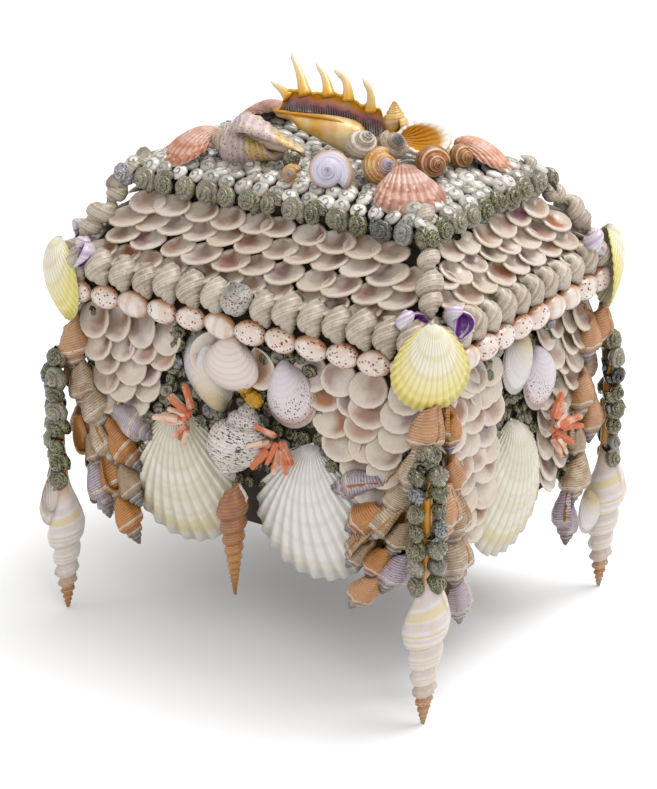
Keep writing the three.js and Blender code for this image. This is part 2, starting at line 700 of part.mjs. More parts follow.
// Half cockles lying near the corners of the platform, hinge towards the middle
function addFans() {
  for (const [endName, signY] of [['front', -1], ['back', 1]]) {
    for (const [sideName, signX] of [['left', -1], ['right', 1]]) {
      const shell = valve({
        width: FAN_WIDTH,
        height: FAN_HEIGHT,
        bulge: FAN_BULGE,
        ribs: FAN_RIBS,
      });
      const turn = Math.atan2(signX, -signY) * degrees;
      const floor = platformTop + CLEARANCE * 2 + BED_THICKNESS + BUTTON_HEIGHT;
      const lying = shell.rotate([-FAN_LEAN, 0, 0]).rotate([0, 0, turn]);
      const drop = FAN_HEIGHT * Math.cos(FAN_LEAN / degrees);
      const place = [signX * (platformHalfX - FAN_INSET_X), signY * (platformHalfY - FAN_INSET_Y), floor + drop];
      addPiece(`platform_cockle_${endName}_${sideName}`, [lying.translate(place)], 'fan');
    }
  }
}

// Where a shell of the heap stands, at a given height
function heapPlace(name, height) {
  const [across, deep] = HEAP_PLACES[name];
  return [across * platformHalfX, deep * platformHalfY, height];
}

// The upright lip of the spider conch: an arched edge with hooked spines, the first longest
function conchLip() {
  const half = CONCH_LIP_WIDTH / 2;
  const edge = (across) => CONCH_LIP_RISE * (0.72 + 0.28 * Math.cos(across / half * 1.3));
  const outline = new THREE.Shape();
  outline.moveTo(half, 0);
  outline.lineTo(-half * 0.8, 0);
  outline.lineTo(-half, edge(half) * 0.6);
  for (let i = 0; i < CONCH_SPINES; i += 1) {
    const foot = (i / CONCH_SPINES - 0.5) * CONCH_LIP_WIDTH + 2;
    const length = CONCH_SPINE_LENGTH * (i === 0 ? 1 : CONCH_SPINE_SHORTER);
    const tip = foot - length * CONCH_SPINE_HOOK;
    outline.lineTo(foot, edge(foot));
    outline.lineTo(tip, edge(foot) + length);
    outline.lineTo(tip + CONCH_LIP_EDGE, edge(foot) + length);
    outline.lineTo(foot + CONCH_SPINE_WIDTH, edge(foot + CONCH_SPINE_WIDTH));
  }
  outline.lineTo(half, edge(half) * 0.9);
  outline.closePath();
  const sheet = solidOf(new THREE.ExtrudeGeometry(outline, { depth: CONCH_LIP_THICKNESS, bevelEnabled: false }));
  return sheet.rotate([90, 0, 0]).rotate([-CONCH_LIP_LEAN, 0, 0]).translate([0, CONCH_RADIUS * 0.6, 0]);
}

// The spider conch: a body whorl on its side with its lip standing up behind the mouth
function addSpiderConch(floor) {
  const body = coiledShell({
    length: CONCH_LENGTH,
    radius: CONCH_RADIUS,
    spire: CONCH_LENGTH * 0.3,
    whorls: 3,
    canalRadius: CONCH_RADIUS * 0.3,
    sideCount: ROUND_SIDES,
  }).translate([0, 0, -CONCH_LENGTH / 2]).rotate([0, -90, 0]);
  const place = heapPlace('spider_conch', floor + CONCH_RADIUS);
  const parts = [body, conchLip()].map((part) => part.rotate([0, 0, CONCH_TURN]).translate(place));
  addPiece('spider_conch', parts, 'conch');
}

// The other large shells of the heap, each a coiled shell laid on its side
function addHeapShells(floor) {
  const heap = [
    { name: 'knobbed_conch', paint: 'knobbed', length: KNOBBED_CONCH_LENGTH, radius: KNOBBED_CONCH_RADIUS,
      whorls: 3, spire: 0.4, turn: 14 },
    { name: 'moon_shell', paint: 'moon', length: MOON_RADIUS * 1.7, radius: MOON_RADIUS,
      whorls: 2, spire: 0.4, turn: -70 },
    { name: 'orange_turban', paint: 'orangeTurban', length: ORANGE_TURBAN_RADIUS * 1.9,
      radius: ORANGE_TURBAN_RADIUS, whorls: 2, spire: 0.45, turn: -30 },
    { name: 'brown_turban', paint: 'stromb', length: BROWN_TURBAN_RADIUS * 2, radius: BROWN_TURBAN_RADIUS,
      whorls: 2, spire: 0.45, turn: 10 },
    { name: 'yellow_shell', paint: 'yellowShell', length: YELLOW_SHELL_LENGTH, radius: YELLOW_SHELL_RADIUS,
      whorls: 2, spire: 0.4, turn: 40 },
  ];
  for (const { name, paint, length, radius, whorls, spire, turn } of heap) {
    const shell = coiledShell({
      length,
      radius,
      spire: length * spire,
      whorls,
      canalRadius: radius * 0.45,
      sideCount: ROUND_SIDES,
    }).translate([0, 0, -length / 2]).rotate([0, 90, 0]).rotate([0, 0, turn]);
    addPiece(name, [shell.translate(heapPlace(name, floor + radius))], paint);
  }
}

addBox();
addLid();
addLegs();
addCockles();
for (const side of sides) {
  addScallops(side);
}
addFrontMiddle(sides[0]);
addClams(sides[0]);
addClams(sides[1]);
for (const side of sides) {
  addStrombs(side, 'left', -1);
  addStrombs(side, 'right', 1);
  addCowries(side);
  addSnails(side);
}
addPeriwinkles();
addFans();
const heapFloor = platformTop + CLEARANCE * 2 + BED_THICKNESS;
addSpiderConch(heapFloor);
addHeapShells(heapFloor);
addButtons();
for (const side of sides) {
  addLidTellins(side);
  addWallTellins(side, 'left', -1);
  addWallTellins(side, 'right', 1);
}

export default group;
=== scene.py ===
"""Looks of the shell box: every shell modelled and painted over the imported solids.

Sizes in this file are millimetres until a piece is published, which turns it into metres.
A side's own frame has X along the wall, -Y out of it and Z up.
"""

import logging
import math
import random
from dataclasses import dataclass, field, replace
from enum import Enum
from typing import Any, Callable, Iterable, Optional, Sequence, Union

import bmesh
import bpy
from mathutils import Matrix, Vector


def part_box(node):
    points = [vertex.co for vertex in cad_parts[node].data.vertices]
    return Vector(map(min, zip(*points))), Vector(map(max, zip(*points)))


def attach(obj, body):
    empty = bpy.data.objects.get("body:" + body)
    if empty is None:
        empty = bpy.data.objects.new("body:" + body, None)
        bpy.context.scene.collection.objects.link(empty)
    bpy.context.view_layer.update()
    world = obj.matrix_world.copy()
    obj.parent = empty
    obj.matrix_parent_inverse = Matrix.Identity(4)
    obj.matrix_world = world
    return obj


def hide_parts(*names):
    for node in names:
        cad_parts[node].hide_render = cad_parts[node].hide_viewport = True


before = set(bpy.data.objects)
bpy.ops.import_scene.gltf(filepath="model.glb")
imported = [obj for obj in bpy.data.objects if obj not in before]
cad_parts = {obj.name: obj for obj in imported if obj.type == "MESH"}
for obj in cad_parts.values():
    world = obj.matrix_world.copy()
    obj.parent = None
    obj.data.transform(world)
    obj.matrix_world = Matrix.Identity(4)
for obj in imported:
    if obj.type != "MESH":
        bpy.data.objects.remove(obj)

log = logging.getLogger("shell_box")
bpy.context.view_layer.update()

MM = 0.001
PLACE = "place"
TINT = "tint"
FULL_TURN = 2 * math.pi

Relief = Callable[[float, float], float]
Inputs = dict[Union[str, int], Any]
Hanging = tuple[float, float, float, float]


# Frames and places


@dataclass(frozen=True)
class Room:
    """A box in millimetres."""

    low: Vector
    high: Vector

    @property
    def centre(self) -> Vector:
        """The middle of the box."""
        return (self.low + self.high) / 2

    @property
    def size(self) -> Vector:
        """The three lengths of the box."""
        return self.high - self.low


def room_of(node: str, turn: float = 0.0) -> Room:
    """Gives the box that a CAD node fills.

    Args:
        node: the node's name.
        turn: degrees by which the side's own frame is turned about Z.

    Returns:
        The node's box in that frame, in millimetres.
    """
    low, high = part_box(node)
    back = Matrix.Rotation(math.radians(-turn), 3, "Z")
    corners = [back @ Vector((x, y, z)) / MM for x in (low.x, high.x) for y in (low.y, high.y) for z in (low.z, high.z)]
    return Room(
        Vector([min(corner[axis] for corner in corners) for axis in range(3)]),
        Vector([max(corner[axis] for corner in corners) for axis in range(3)]),
    )


class Side(Enum):
    """The four walls, each by the degrees that its frame is turned."""

    FRONT = 0
    RIGHT = 90
    BACK = 180
    LEFT = 270

    @property
    def word(self) -> str:
        """The wall's name in the names of nodes and pieces."""
        return self.name.lower()

    @property
    def wide(self) -> bool:
        """True for the two longer walls."""
        return self in (Side.FRONT, Side.BACK)

    @property
    def frame(self) -> Matrix:
        """Turns the side's own frame into the box's frame."""
        return Matrix.Rotation(math.radians(self.value), 4, "Z")

    def room(self, node: str) -> Room:
        """The box of a node in this side's frame."""
        return room_of(node, self.value)


def stand(at: Sequence[float], apex: Sequence[float], spin: float = 0.0, size: float = 1.0) -> Matrix:
    """Places a coiled shell.

    Args:
        at: where the shell's own origin goes.
        apex: the direction that its apex points in.
        spin: degrees about that direction.
        size: the scale.

    Returns:
        The matrix that puts the shell there.
    """
    aim = Vector(apex).to_track_quat("Z", "Y").to_matrix().to_4x4()
    turned = Matrix.Rotation(math.radians(spin), 4, "Z")
    return Matrix.Translation(Vector(at)) @ aim @ turned @ Matrix.Scale(size, 4)


def face(at: Sequence[float], apex: Sequence[float], mouth: Sequence[float], size: float = 1.0) -> Matrix:
    """Places a coiled shell with its mouth opening as nearly as possible in a given direction.

    Args:
        at: where the shell's own origin goes.
        apex: the direction that its apex points in.
        mouth: the direction that its mouth opens in.
        size: the scale.

    Returns:
        The matrix that puts the shell there.
    """
    up = Vector(apex).normalized()
    inward = (up * up.dot(Vector(mouth)) - Vector(mouth)).normalized()
    axes = Matrix((inward.cross(up), inward, up)).transposed().to_4x4()
    return Matrix.Translation(Vector(at)) @ axes @ Matrix.Scale(size, 4)


def hang(at: Sequence[float], back: float = 0.0, roll: float = 0.0, turn: float = 0.0, size: float = 1.0,
         inside_out: bool = False, drop: float = 0.0) -> Matrix:
    """Places a valve, which hangs from its hinge and bulges to -Y.

    Args:
        at: where the hinge goes, or the point that is drop below it.
        back: degrees by which the shell's top leans away from the viewer.
        roll: degrees that it is turned in its own plane.
        turn: degrees about Z.
        size: the scale.
        inside_out: True where the hollow side faces out.
        drop: how far below the hinge the placed point is.

    Returns:
        The matrix that puts the valve there.
    """
    flip = Matrix.Rotation(math.pi if inside_out else 0.0, 4, "Z")
    return (Matrix.Translation(Vector(at)) @ Matrix.Rotation(math.radians(turn), 4, "Z")
            @ Matrix.Rotation(math.radians(-back), 4, "X") @ Matrix.Rotation(math.radians(roll), 4, "Y")
            @ Matrix.Scale(size, 4) @ Matrix.Translation((0, 0, drop)) @ flip)


def blend(first: float, second: float, share: float) -> float:
    """A value between two others."""
    return first + (second - first) * share


def soft_step(value: float, low: float, high: float) -> float:
    """Rises smoothly from 0 at low to 1 at high."""
    share = min(1.0, max(0.0, (value - low) / (high - low)))
    return share * share * (3 - 2 * share)


def bell(value: float, centre: float, width: float) -> float:
    """A hump of height 1 round a centre."""
    return math.exp(-((value - centre) / width) ** 2)


# Relief on shells


@dataclass(frozen=True)
class Cords:
    """Raised threads that follow the coil."""

    count: int
    height: float

    def __call__(self, turns: float, section: float) -> float:
        """The height at a place, as a share of the shell's local size."""
        return self.height * math.cos(section * FULL_TURN * self.count)


@dataclass(frozen=True)
class Ribs:
    """Ribs across the whorls, strongest between two places of the section."""

    count: int
    height: float
    low: float = 0.0
    high: float = 0.7

    def __call__(self, turns: float, section: float) -> float:
        """The height at a place, as a share of the shell's local size."""
        weight = soft_step(section, self.low - 0.1, self.low + 0.1) * (1 - soft_step(section, self.high - 0.2, self.high + 0.2))
        return self.height * weight * math.cos(turns * FULL_TURN * self.count)


@dataclass(frozen=True)
class Knobs:
    """A spiral row of knobs, from one whorl on."""

    count: int
    height: float
    row: float
    width: float = 0.12
    first: float = -1.0
    last: float = 0.0

    def __call__(self, turns: float, section: float) -> float:
        """The height at a place, as a share of the shell's local size."""
        crest = max(0.0, math.cos(turns * FULL_TURN * self.count)) ** 1.5
        start = soft_step(turns, self.first, self.last) if self.last > self.first else 1.0
        return self.height * start * crest * bell(section, self.row, self.width)


@dataclass(frozen=True)
class Swell:
    """Rounds every whorl between its seams."""

    height: float

    def __call__(self, turns: float, section: float) -> float:
        """The height at a place, as a share of the shell's local size."""
        return self.height * (math.sin(min(1.0, section * 1.8) * math.pi) - 0.4)


@dataclass(frozen=True)
class FanRibs:
    """Ribs that fan out from a valve's hinge."""

    count: int
    height: float
    sharp: float = 1.0

    def __call__(self, fan: float, growth: float) -> float:
        """The height at a place, as a share of the shell's local size."""
        wave = 0.5 + 0.5 * math.cos(fan * FULL_TURN * self.count)
        return self.height * (wave ** self.sharp - 0.5) * (1 - soft_step(abs(fan), 0.78, 0.95))


@dataclass(frozen=True)
class GrowthRings:
    """Steps parallel to a valve's edge."""

    count: int
    height: float

    def __call__(self, fan: float, growth: float) -> float:
        """The height at a place, as a share of the shell's local size."""
        return self.height * (((growth * self.count) % 1.0) - 0.5)


@dataclass(frozen=True)
class Together:
    """Several reliefs added up."""

    parts: tuple[Relief, ...]

    def __call__(self, along: float, across: float) -> float:
        """The sum of the heights at a place."""
        return sum(part(along, across) for part in self.parts)


# Shells


def new_shell() -> tuple[bmesh.types.BMesh, Any]:
    """Starts an empty mesh with its place layer.

    Returns:
        The mesh and the layer that says where a point lies on its shell.
    """
    mesh = bmesh.new()
    layer = mesh.verts.layers.float_vector.new(PLACE)
    mesh.verts.layers.float_vector.new(TINT)
    return mesh, layer


def sweep(mesh: bmesh.types.BMesh, edges: list, step: Matrix, count: int,
          mark: Callable[[bmesh.types.BMVert, int], None]) -> list:
    """Extrudes a loop of edges again and again, each time by the same step.

    Args:
        mesh: the mesh.
        edges: the loop.
        step: what moves each new loop on from the last.
        count: how many times.
        mark: called for each new vertex with the number of its step.

    Returns:
        The edges of the last loop.
    """
    for number in range(1, count + 1):
        grown = bmesh.ops.extrude_edge_only(mesh, edges=edges)["geom"]
        verts = [item for item in grown if isinstance(item, bmesh.types.BMVert)]
        fresh = set(verts)
        edges = [item for item in grown if isinstance(item, bmesh.types.BMEdge) and fresh.issuperset(item.verts)]
        bmesh.ops.transform(mesh, matrix=step, verts=verts)
        for vert in verts:
            mark(vert, number)
    return edges


def raise_relief(mesh: bmesh.types.BMesh, layer: Any, relief: Optional[Relief], size: Callable[[Vector], float]) -> None:
    """Moves the outside of a shell along its normals.

    Args:
        mesh: the shell.
        layer: its place layer.
        relief: the heights.
        size: gives the local size for a place.
    """
    if relief is None:
        return
    mesh.normal_update()
    moves = [(vert, vert.normal * relief(vert[layer].x, vert[layer].y) * size(vert[layer]))
             for vert in mesh.verts if vert[layer].z < 0.5]
    for vert, move in moves:
        vert.co += move


@dataclass(frozen=True)
class Coil:
    """A snail-like shell with its apex at the origin, hanging down -Z.

    One cross-section is swept round the axis while it shrinks towards the apex. The mouth is
    at +X and opens to -Y.
    """

    length: float
    radius: float
    widest: float
    growth: float = 1.6
    whorls: float = 4.0
    steps: int = 12
    upper: int = 4
    lower: int = 5
    canal: float = 0.15
    waist: float = 0.7
    fall: float = 2.0
    shoulder: float = 1.0
    tuck: float = 0.0
    mouth: float = 0.86
    mouth_depth: float = 24.0
    relief: Optional[Relief] = None

    def outline(self) -> list[tuple[float, float, float]]:
        """The cross-section at the mouth.

        Returns:
            Radius, depth below the apex and section share of each point: over the outside
            from the seam to the foot, then back near the axis.
        """
        middle = self.length * self.widest
        seam_depth = blend(middle, self.length, self.tuck) / self.growth
        seam_radius = self.radius / self.growth * self.narrowing(self.tuck) * 0.96
        count = self.upper + self.lower
        points = []
        for i in range(self.upper):
            angle = i / self.upper * math.pi / 2
            points.append((blend(seam_radius, self.radius, math.sin(angle) ** (1 / self.shoulder)),
                           blend(seam_depth, middle, (1 - math.cos(angle)) ** self.shoulder), i / count))
        for i in range(self.lower + 1):
            share = i / self.lower
            points.append((self.radius * self.narrowing(share), blend(middle, self.length, share),
                           (self.upper + i) / count))
        points.append((self.radius * 0.03, self.length * 0.985, 1.0))
        points.append((self.radius * 0.03, seam_depth * 1.04, 1.0))
        return points

    def narrowing(self, share: float) -> float:
        """The radius at a share of the way from the widest place to the foot, as a share of the widest."""
        return blend(self.canal, 1.0, math.exp(-((share / self.waist) ** self.fall)))

    def build(self) -> bpy.types.Mesh:
        """Makes the shell.

        Returns:
            The mesh, in millimetres.
        """
        mesh, layer = new_shell()
        ring = []
        for radius, depth, section in self.outline():
            vert = mesh.verts.new((radius, 0, -depth))
            vert[layer] = Vector((0.0, section, 0.0))
            ring.append(vert)
        mouth = mesh.faces.new(ring)
        shrink = self.growth ** (-1 / self.steps)
        step = Matrix.Rotation(FULL_TURN / self.steps, 4, "Z") @ Matrix.Scale(shrink, 4)

        def mark(vert: bmesh.types.BMVert, number: int) -> None:
            """Writes how many turns back from the mouth a point is."""
            vert[layer] = Vector((number / self.steps, vert[layer].y, 0.0))

        last = sweep(mesh, list(mouth.edges), step, round(self.whorls * self.steps), mark)
        bmesh.ops.contextual_create(mesh, geom=last)
        self.open_mouth(mesh, layer, mouth)
        bmesh.ops.recalc_face_normals(mesh, faces=mesh.faces)
        raise_relief(mesh, layer, self.relief, lambda place: self.radius * self.growth ** -place.x)
        return kept(mesh, "coil")

    def open_mouth(self, mesh: bmesh.types.BMesh, layer: Any, mouth: bmesh.types.BMFace) -> None:
        """Sinks the mouth, so that the shell has a lip and a hollow behind it."""
        for shrink, turn in ((self.mouth, 0.0), (0.97, self.mouth_depth)):
            mouth = bmesh.ops.extrude_discrete_faces(mesh, faces=[mouth])["faces"][0]
            centre = mouth.calc_center_median()
            about = Matrix.Translation(centre) @ Matrix.Scale(shrink, 4) @ Matrix.Translation(-centre)
            turned = Matrix.Rotation(math.radians(turn), 4, "Z")
            bmesh.ops.transform(mesh, matrix=turned @ about, verts=list(mouth.verts))
            for vert in mouth.verts:
                vert[layer] = Vector((turn / 360, vert[layer].y, 1.0))


@dataclass(frozen=True)
class Valve:
    """Half of a two-sided shell: its hinge is at the origin, it hangs down -Z and bulges to -Y."""

    width: float
    height: float
    bulge: float
    columns: int = 48
    rows: int = 12
    pinch: float = 0.25
    thickness: float = 1.2
    smallest: float = 0.09
    slant: float = 0.0
    relief: Optional[Relief] = None

    def curl(self) -> float:
        """How fast the shell grows as it opens, found from its bulge by halving."""
        low, high = 0.05, 12.0
        for _ in range(40):
            middle = (low + high) / 2
            angle = math.atan(1 / middle)
            if math.exp(-middle * angle) * math.sin(angle) > self.bulge / self.height:
                low = middle
            else:
                high = middle
        return low

    def build(self) -> bpy.types.Mesh:
        """Makes the valve from its edge, extruded back to the hinge.

        Returns:
            The mesh, in millimetres.
        """
        mesh, layer = new_shell()
        bmesh.ops.create_circle(mesh, cap_ends=False, segments=self.columns, radius=1.0)
        for vert in mesh.verts:
            angle = math.atan2(vert.co.x, -vert.co.y)
            narrow = 1 - self.pinch * math.sin(angle / 2) ** 4
            down = 0.03 + 0.97 * (1 + math.cos(angle)) / 2
            vert[layer] = Vector((angle / math.pi, 1.0, 0.0))
            vert.co = Vector((self.width / 2 * math.sin(angle) * narrow + self.slant * down * self.height, 0,
                              -self.height * down))
        shrink = self.smallest ** (1 / self.rows)
        open_angle = -math.log(self.smallest) / self.curl() / self.rows
        step = Matrix.Rotation(-open_angle, 4, "X") @ Matrix.Scale(shrink, 4)

        def mark(vert: bmesh.types.BMVert, number: int) -> None:
            """Writes how far grown the shell was at a point."""
            vert[layer] = Vector((vert[layer].x, shrink ** number, 0.0))

        margin = list(mesh.edges)
        last = sweep(mesh, margin, step, self.rows, mark)
        bmesh.ops.contextual_create(mesh, geom=last)
        bmesh.ops.recalc_face_normals(mesh, faces=mesh.faces)
        mesh.normal_update()
        if sum(face.normal.y * face.calc_area() for face in mesh.faces) > 0:
            bmesh.ops.reverse_faces(mesh, faces=mesh.faces)
        raise_relief(mesh, layer, self.relief, lambda place: self.height * place.y)
        self.thicken(mesh, layer, margin)
        return kept(mesh, "valve")

    def thicken(self, mesh: bmesh.types.BMesh, layer: Any, margin: list) -> None:
        """Gives the valve its inner wall and its rim."""
        mesh.normal_update()
        copy = bmesh.ops.duplicate(mesh, geom=list(mesh.verts) + list(mesh.edges) + list(mesh.faces))
        inner_margin = [copy["edge_map"][edge] for edge in margin]
        inner = {copy["vert_map"][vert]: vert for edge in margin for vert in edge.verts}
        faces = [item for item in copy["geom"] if isinstance(item, bmesh.types.BMFace)]
        verts = [item for item in copy["geom"] if isinstance(item, bmesh.types.BMVert)]
        for vert in verts:
            away = vert.normal
            if vert in inner:
                centre = Vector((0, 0, -self.height / 2))
                away = (away + (vert.co - centre).normalized() * 0.6).normalized()
            vert.co -= away * self.thickness
            vert[layer] = Vector((vert[layer].x, vert[layer].y, 1.0))
        bmesh.ops.reverse_faces(mesh, faces=faces)
        bmesh.ops.bridge_loops(mesh, edges=margin + inner_margin)


def kept(mesh: bmesh.types.BMesh, name: str) -> bpy.types.Mesh:
    """Keeps a finished shell as mesh data that clusters copy.

    Args:
        mesh: the shell, which is freed.
        name: what to call it.

    Returns:
        The mesh data.
    """
    data = bpy.data.meshes.new(name)
    mesh.to_mesh(data)
    mesh.free()
    return data


@dataclass(frozen=True)
class Dome:
    """A cowrie: an egg with a flat mouth side and a slit along it."""

    length: float
    width: float
    height: float
    columns: int = 14
    rows: int = 9

    def build(self) -> bpy.types.Mesh:
        """Makes the shell with its back to -Y and its length along X.

        Returns:
            The mesh, in millimetres.
        """
        mesh, layer = new_shell()
        bmesh.ops.create_uvsphere(mesh, u_segments=self.columns, v_segments=self.rows, radius=1.0)
        bmesh.ops.rotate(mesh, cent=(0, 0, 0), matrix=Matrix.Rotation(math.pi / 2, 3, "Y"), verts=mesh.verts)
        for vert in mesh.verts:
            vert[layer] = vert.co.copy()
            fat = 1 + 0.1 * vert.co.x
            back = vert.co.y if vert.co.y < 0 else vert.co.y * 0.55
            vert.co = Vector((vert.co.x * self.length / 2, back * self.height / 2 * fat, vert.co.z * self.width / 2 * fat))
        return kept(mesh, "dome")


class Cluster:
    """Shells of one finish, gathered in one mesh."""

    def __init__(self) -> None:
        """Starts empty."""
        self.mesh, _ = new_shell()

    def add(self, shell: bpy.types.Mesh, where: Matrix, tint: Sequence[float] = (0.5, 0.5, 0.5)) -> None:
        """Adds a copy of a shell.

        Args:
            shell: the shell's mesh data.
            where: its place.
            tint: three numbers that its finish reads.
        """
        self.mesh.verts.ensure_lookup_table()
        self.mesh.faces.ensure_lookup_table()
        first_vert, first_face = len(self.mesh.verts), len(self.mesh.faces)
        self.mesh.from_mesh(shell)
        self.mesh.verts.ensure_lookup_table()
        self.mesh.faces.ensure_lookup_table()
        verts = self.mesh.verts[first_vert:]
        bmesh.ops.transform(self.mesh, matrix=where, verts=verts)
        if where.determinant() < 0:
            bmesh.ops.reverse_faces(self.mesh, faces=self.mesh.faces[first_face:])
        layer = self.mesh.verts.layers.float_vector[TINT]
        for vert in verts:
            vert[layer] = Vector(tint)

    def publish(self, name: str, finish: "Finish", nodes: Iterable[str] = (), turn: float = 0.0,
                smooth: bool = True) -> bpy.types.Object:
        """Makes the object and ties it to the box.

        Args:
            name: the piece's name.
            finish: its finish.
            nodes: the CAD nodes that it stands for.
            turn: degrees of the side's frame that it was built in.
            smooth: False for faceted pieces.

        Returns:
            The object.
        """
        bmesh.ops.transform(self.mesh, matrix=Matrix.Rotation(math.radians(turn), 4, "Z") @ Matrix.Scale(MM, 4),
                            verts=self.mesh.verts)
        data = bpy.data.meshes.new(name)
        self.mesh.to_mesh(data)
        self.mesh.free()
        data.polygons.foreach_set("use_smooth", [smooth] * len(data.polygons))
        data.materials.append(finish.material())
        piece = bpy.data.objects.new(name, data)
        bpy.context.scene.collection.objects.link(piece)
        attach(piece, "root")
        if nodes:
            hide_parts(*nodes)
        log.info("%s: %d faces", name, len(data.polygons))
        return piece


# Material maker


class Wire:
    """One output of a material's nodes, which can stand in sums."""

    def __init__(self, painter: "Painter", socket: bpy.types.NodeSocket) -> None:
        """Keeps the socket."""
        self.painter = painter
        self.socket = socket

    def _sum(self, operation: str, first: Any, second: Any) -> "Wire":
        """Adds a Math node."""
        return self.painter.out("ShaderNodeMath", {"operation": operation}, {0: first, 1: second})

    def __add__(self, other: Any) -> "Wire":
        """self + other."""
        return self._sum("ADD", self, other)

    def __radd__(self, other: Any) -> "Wire":
        """other + self."""
        return self._sum("ADD", other, self)

    def __sub__(self, other: Any) -> "Wire":
        """self - other."""
        return self._sum("SUBTRACT", self, other)

    def __rsub__(self, other: Any) -> "Wire":
        """other - self."""
        return self._sum("SUBTRACT", other, self)

    def __mul__(self, other: Any) -> "Wire":
        """self * other."""
        return self._sum("MULTIPLY", self, other)

    def __rmul__(self, other: Any) -> "Wire":
        """other * self."""
        return self._sum("MULTIPLY", other, self)

    def __pow__(self, other: Any) -> "Wire":
        """self ** other."""
        return self._sum("POWER", self, other)

    def wave(self, count: float) -> "Wire":
        """A smooth wave from 0 to 1, so many times for each unit."""
        return self._sum("COSINE", self * (FULL_TURN * count), 0.0) * 0.5 + 0.5

    def size(self) -> "Wire":
        """The value without its sign."""
        return self._sum("ABSOLUTE", self, 0.0)

    def step(self, low: float, high: float) -> "Wire":
        """Rises smoothly from 0 at low to 1 at high, or falls where low is above high."""
        rising = low < high
        ends = {1: min(low, high), 2: max(low, high), 3: 0.0 if rising else 1.0, 4: 1.0 if rising else 0.0}
        return self.painter.out("ShaderNodeMapRange", {"interpolation_type": "SMOOTHSTEP"}, {0: self, **ends})

    def band(self, centre: float, width: float) -> "Wire":
        """1 near a centre and 0 beyond the width."""
        return (self - centre).size().step(width, width * 0.45)


def linear(shade: str) -> tuple[float, float, float, float]:
    """Turns a colour written as six hex digits into linear light."""
    parts = [int(shade[i:i + 2], 16) / 255 for i in (0, 2, 4)]
    light = [part / 12.92 if part <= 0.04045 else ((part + 0.055) / 1.055) ** 2.4 for part in parts]
    return (light[0], light[1], light[2], 1.0)


class Painter:
    """Builds one material from nodes."""

    SATURATION = 1.15
    DEPTH = 0.68

    def __init__(self, name: str) -> None:
        """Starts a material with an empty Principled shader."""
        self.material = bpy.data.materials.new(name)
        self.material.use_nodes = True
        self.tree = self.material.node_tree
        self.tree.nodes.clear()
        self.shader = self.tree.nodes.new("ShaderNodeBsdfPrincipled")
        output = self.tree.nodes.new("ShaderNodeOutputMaterial")
        self.tree.links.new(self.shader.outputs[0], output.inputs[0])

    def out(self, kind: str, settings: Optional[dict[str, Any]] = None, inputs: Optional[Inputs] = None,
            output: int = 0) -> Wire:
        """Adds a node.

        Args:
            kind: the node's type.
            settings: its properties; stops are the stops of a colour ramp.
            inputs: values or wires for its sockets.
            output: which output to hand back.

        Returns:
            That output.
        """
        node = self.tree.nodes.new(kind)
        for key, value in (settings or {}).items():
            if key == "stops":
                self.set_stops(node, value)
            else:
                setattr(node, key, value)
        for key, value in (inputs or {}).items():
            self.feed(node.inputs[key], value)
        return Wire(self, node.outputs[output])

    def feed(self, socket: bpy.types.NodeSocket, value: Any) -> None:
        """Links a wire to a socket, or writes a value or shade on it."""
        if isinstance(value, Wire):
            self.tree.links.new(value.socket, socket)
        else:
            socket.default_value = linear(value) if isinstance(value, str) else value

    def set_stops(self, node: bpy.types.Node, stops: Sequence[tuple[float, str]]) -> None:
        """Writes a colour ramp's stops."""
        ramp = node.color_ramp
        while len(ramp.elements) < len(stops):
            ramp.elements.new(1.0)
        for element, (position, shade) in zip(ramp.elements, stops):
            element.position = position
            element.color = linear(shade)

    def vector(self, name: str) -> Wire:
        """A vector layer of the piece."""
        return self.out("ShaderNodeAttribute", {"attribute_name": name}, output=1)

    def split(self, vector: Wire) -> tuple[Wire, Wire, Wire]:
        """The three numbers of a vector."""
        node = self.tree.nodes.new("ShaderNodeSeparateXYZ")
        self.tree.links.new(vector.socket, node.inputs[0])
        return Wire(self, node.outputs[0]), Wire(self, node.outputs[1]), Wire(self, node.outputs[2])

    def join(self, x: Any, y: Any, z: Any = 0.0) -> Wire:
        """A vector of three numbers."""
        return self.out("ShaderNodeCombineXYZ", inputs={0: x, 1: y, 2: z})

    def place(self) -> Wire:
        """The piece's own coordinates, in metres."""
        return self.out("ShaderNodeTexCoord", output=3)

    def noise(self, scale: float, detail: float = 3.0, at: Optional[Wire] = None) -> Wire:
        """Soft noise from 0 to 1."""
        return self.out("ShaderNodeTexNoise", inputs={"Vector": at or self.place(), "Scale": scale, "Detail": detail})

    def cells(self, scale: float, at: Optional[Wire] = None) -> Wire:
        """The distance to the nearest of many scattered points."""
        return self.out("ShaderNodeTexVoronoi", inputs={"Vector": at or self.place(), "Scale": scale})

    def mix(self, share: Any, first: Any, second: Any) -> Wire:
        """A colour between two others."""
        return self.out("ShaderNodeMix", {"data_type": "RGBA"}, {0: share, 6: first, 7: second}, output=2)

    def finish(self, colour: Any, roughness: Any, coat: float = 0.0, height: Any = None, relief: float = 0.0) -> bpy.types.Material:
        """Feeds the shader.

        Args:
            colour: the base colour.
            roughness: the roughness.
            coat: how much clear gloss lies on it.
            height: a wire for the bump.
            relief: the bump's height in metres.

        Returns:
            The material.
        """
        if isinstance(colour, Wire):
            colour = self.out("ShaderNodeHueSaturation",
                              inputs={"Saturation": self.SATURATION, "Value": self.DEPTH, "Color": colour})
        self.feed(self.shader.inputs["Base Color"], colour)
        self.feed(self.shader.inputs["Roughness"], roughness)
        self.shader.inputs["Coat Weight"].default_value = coat
        self.shader.inputs["Coat Roughness"].default_value = 0.12
        if height is not None:
            bump = self.out("ShaderNodeBump", inputs={"Height": height, "Strength": 1.0, "Distance": relief})
            self.feed(self.shader.inputs["Normal"], bump)
        return self.material


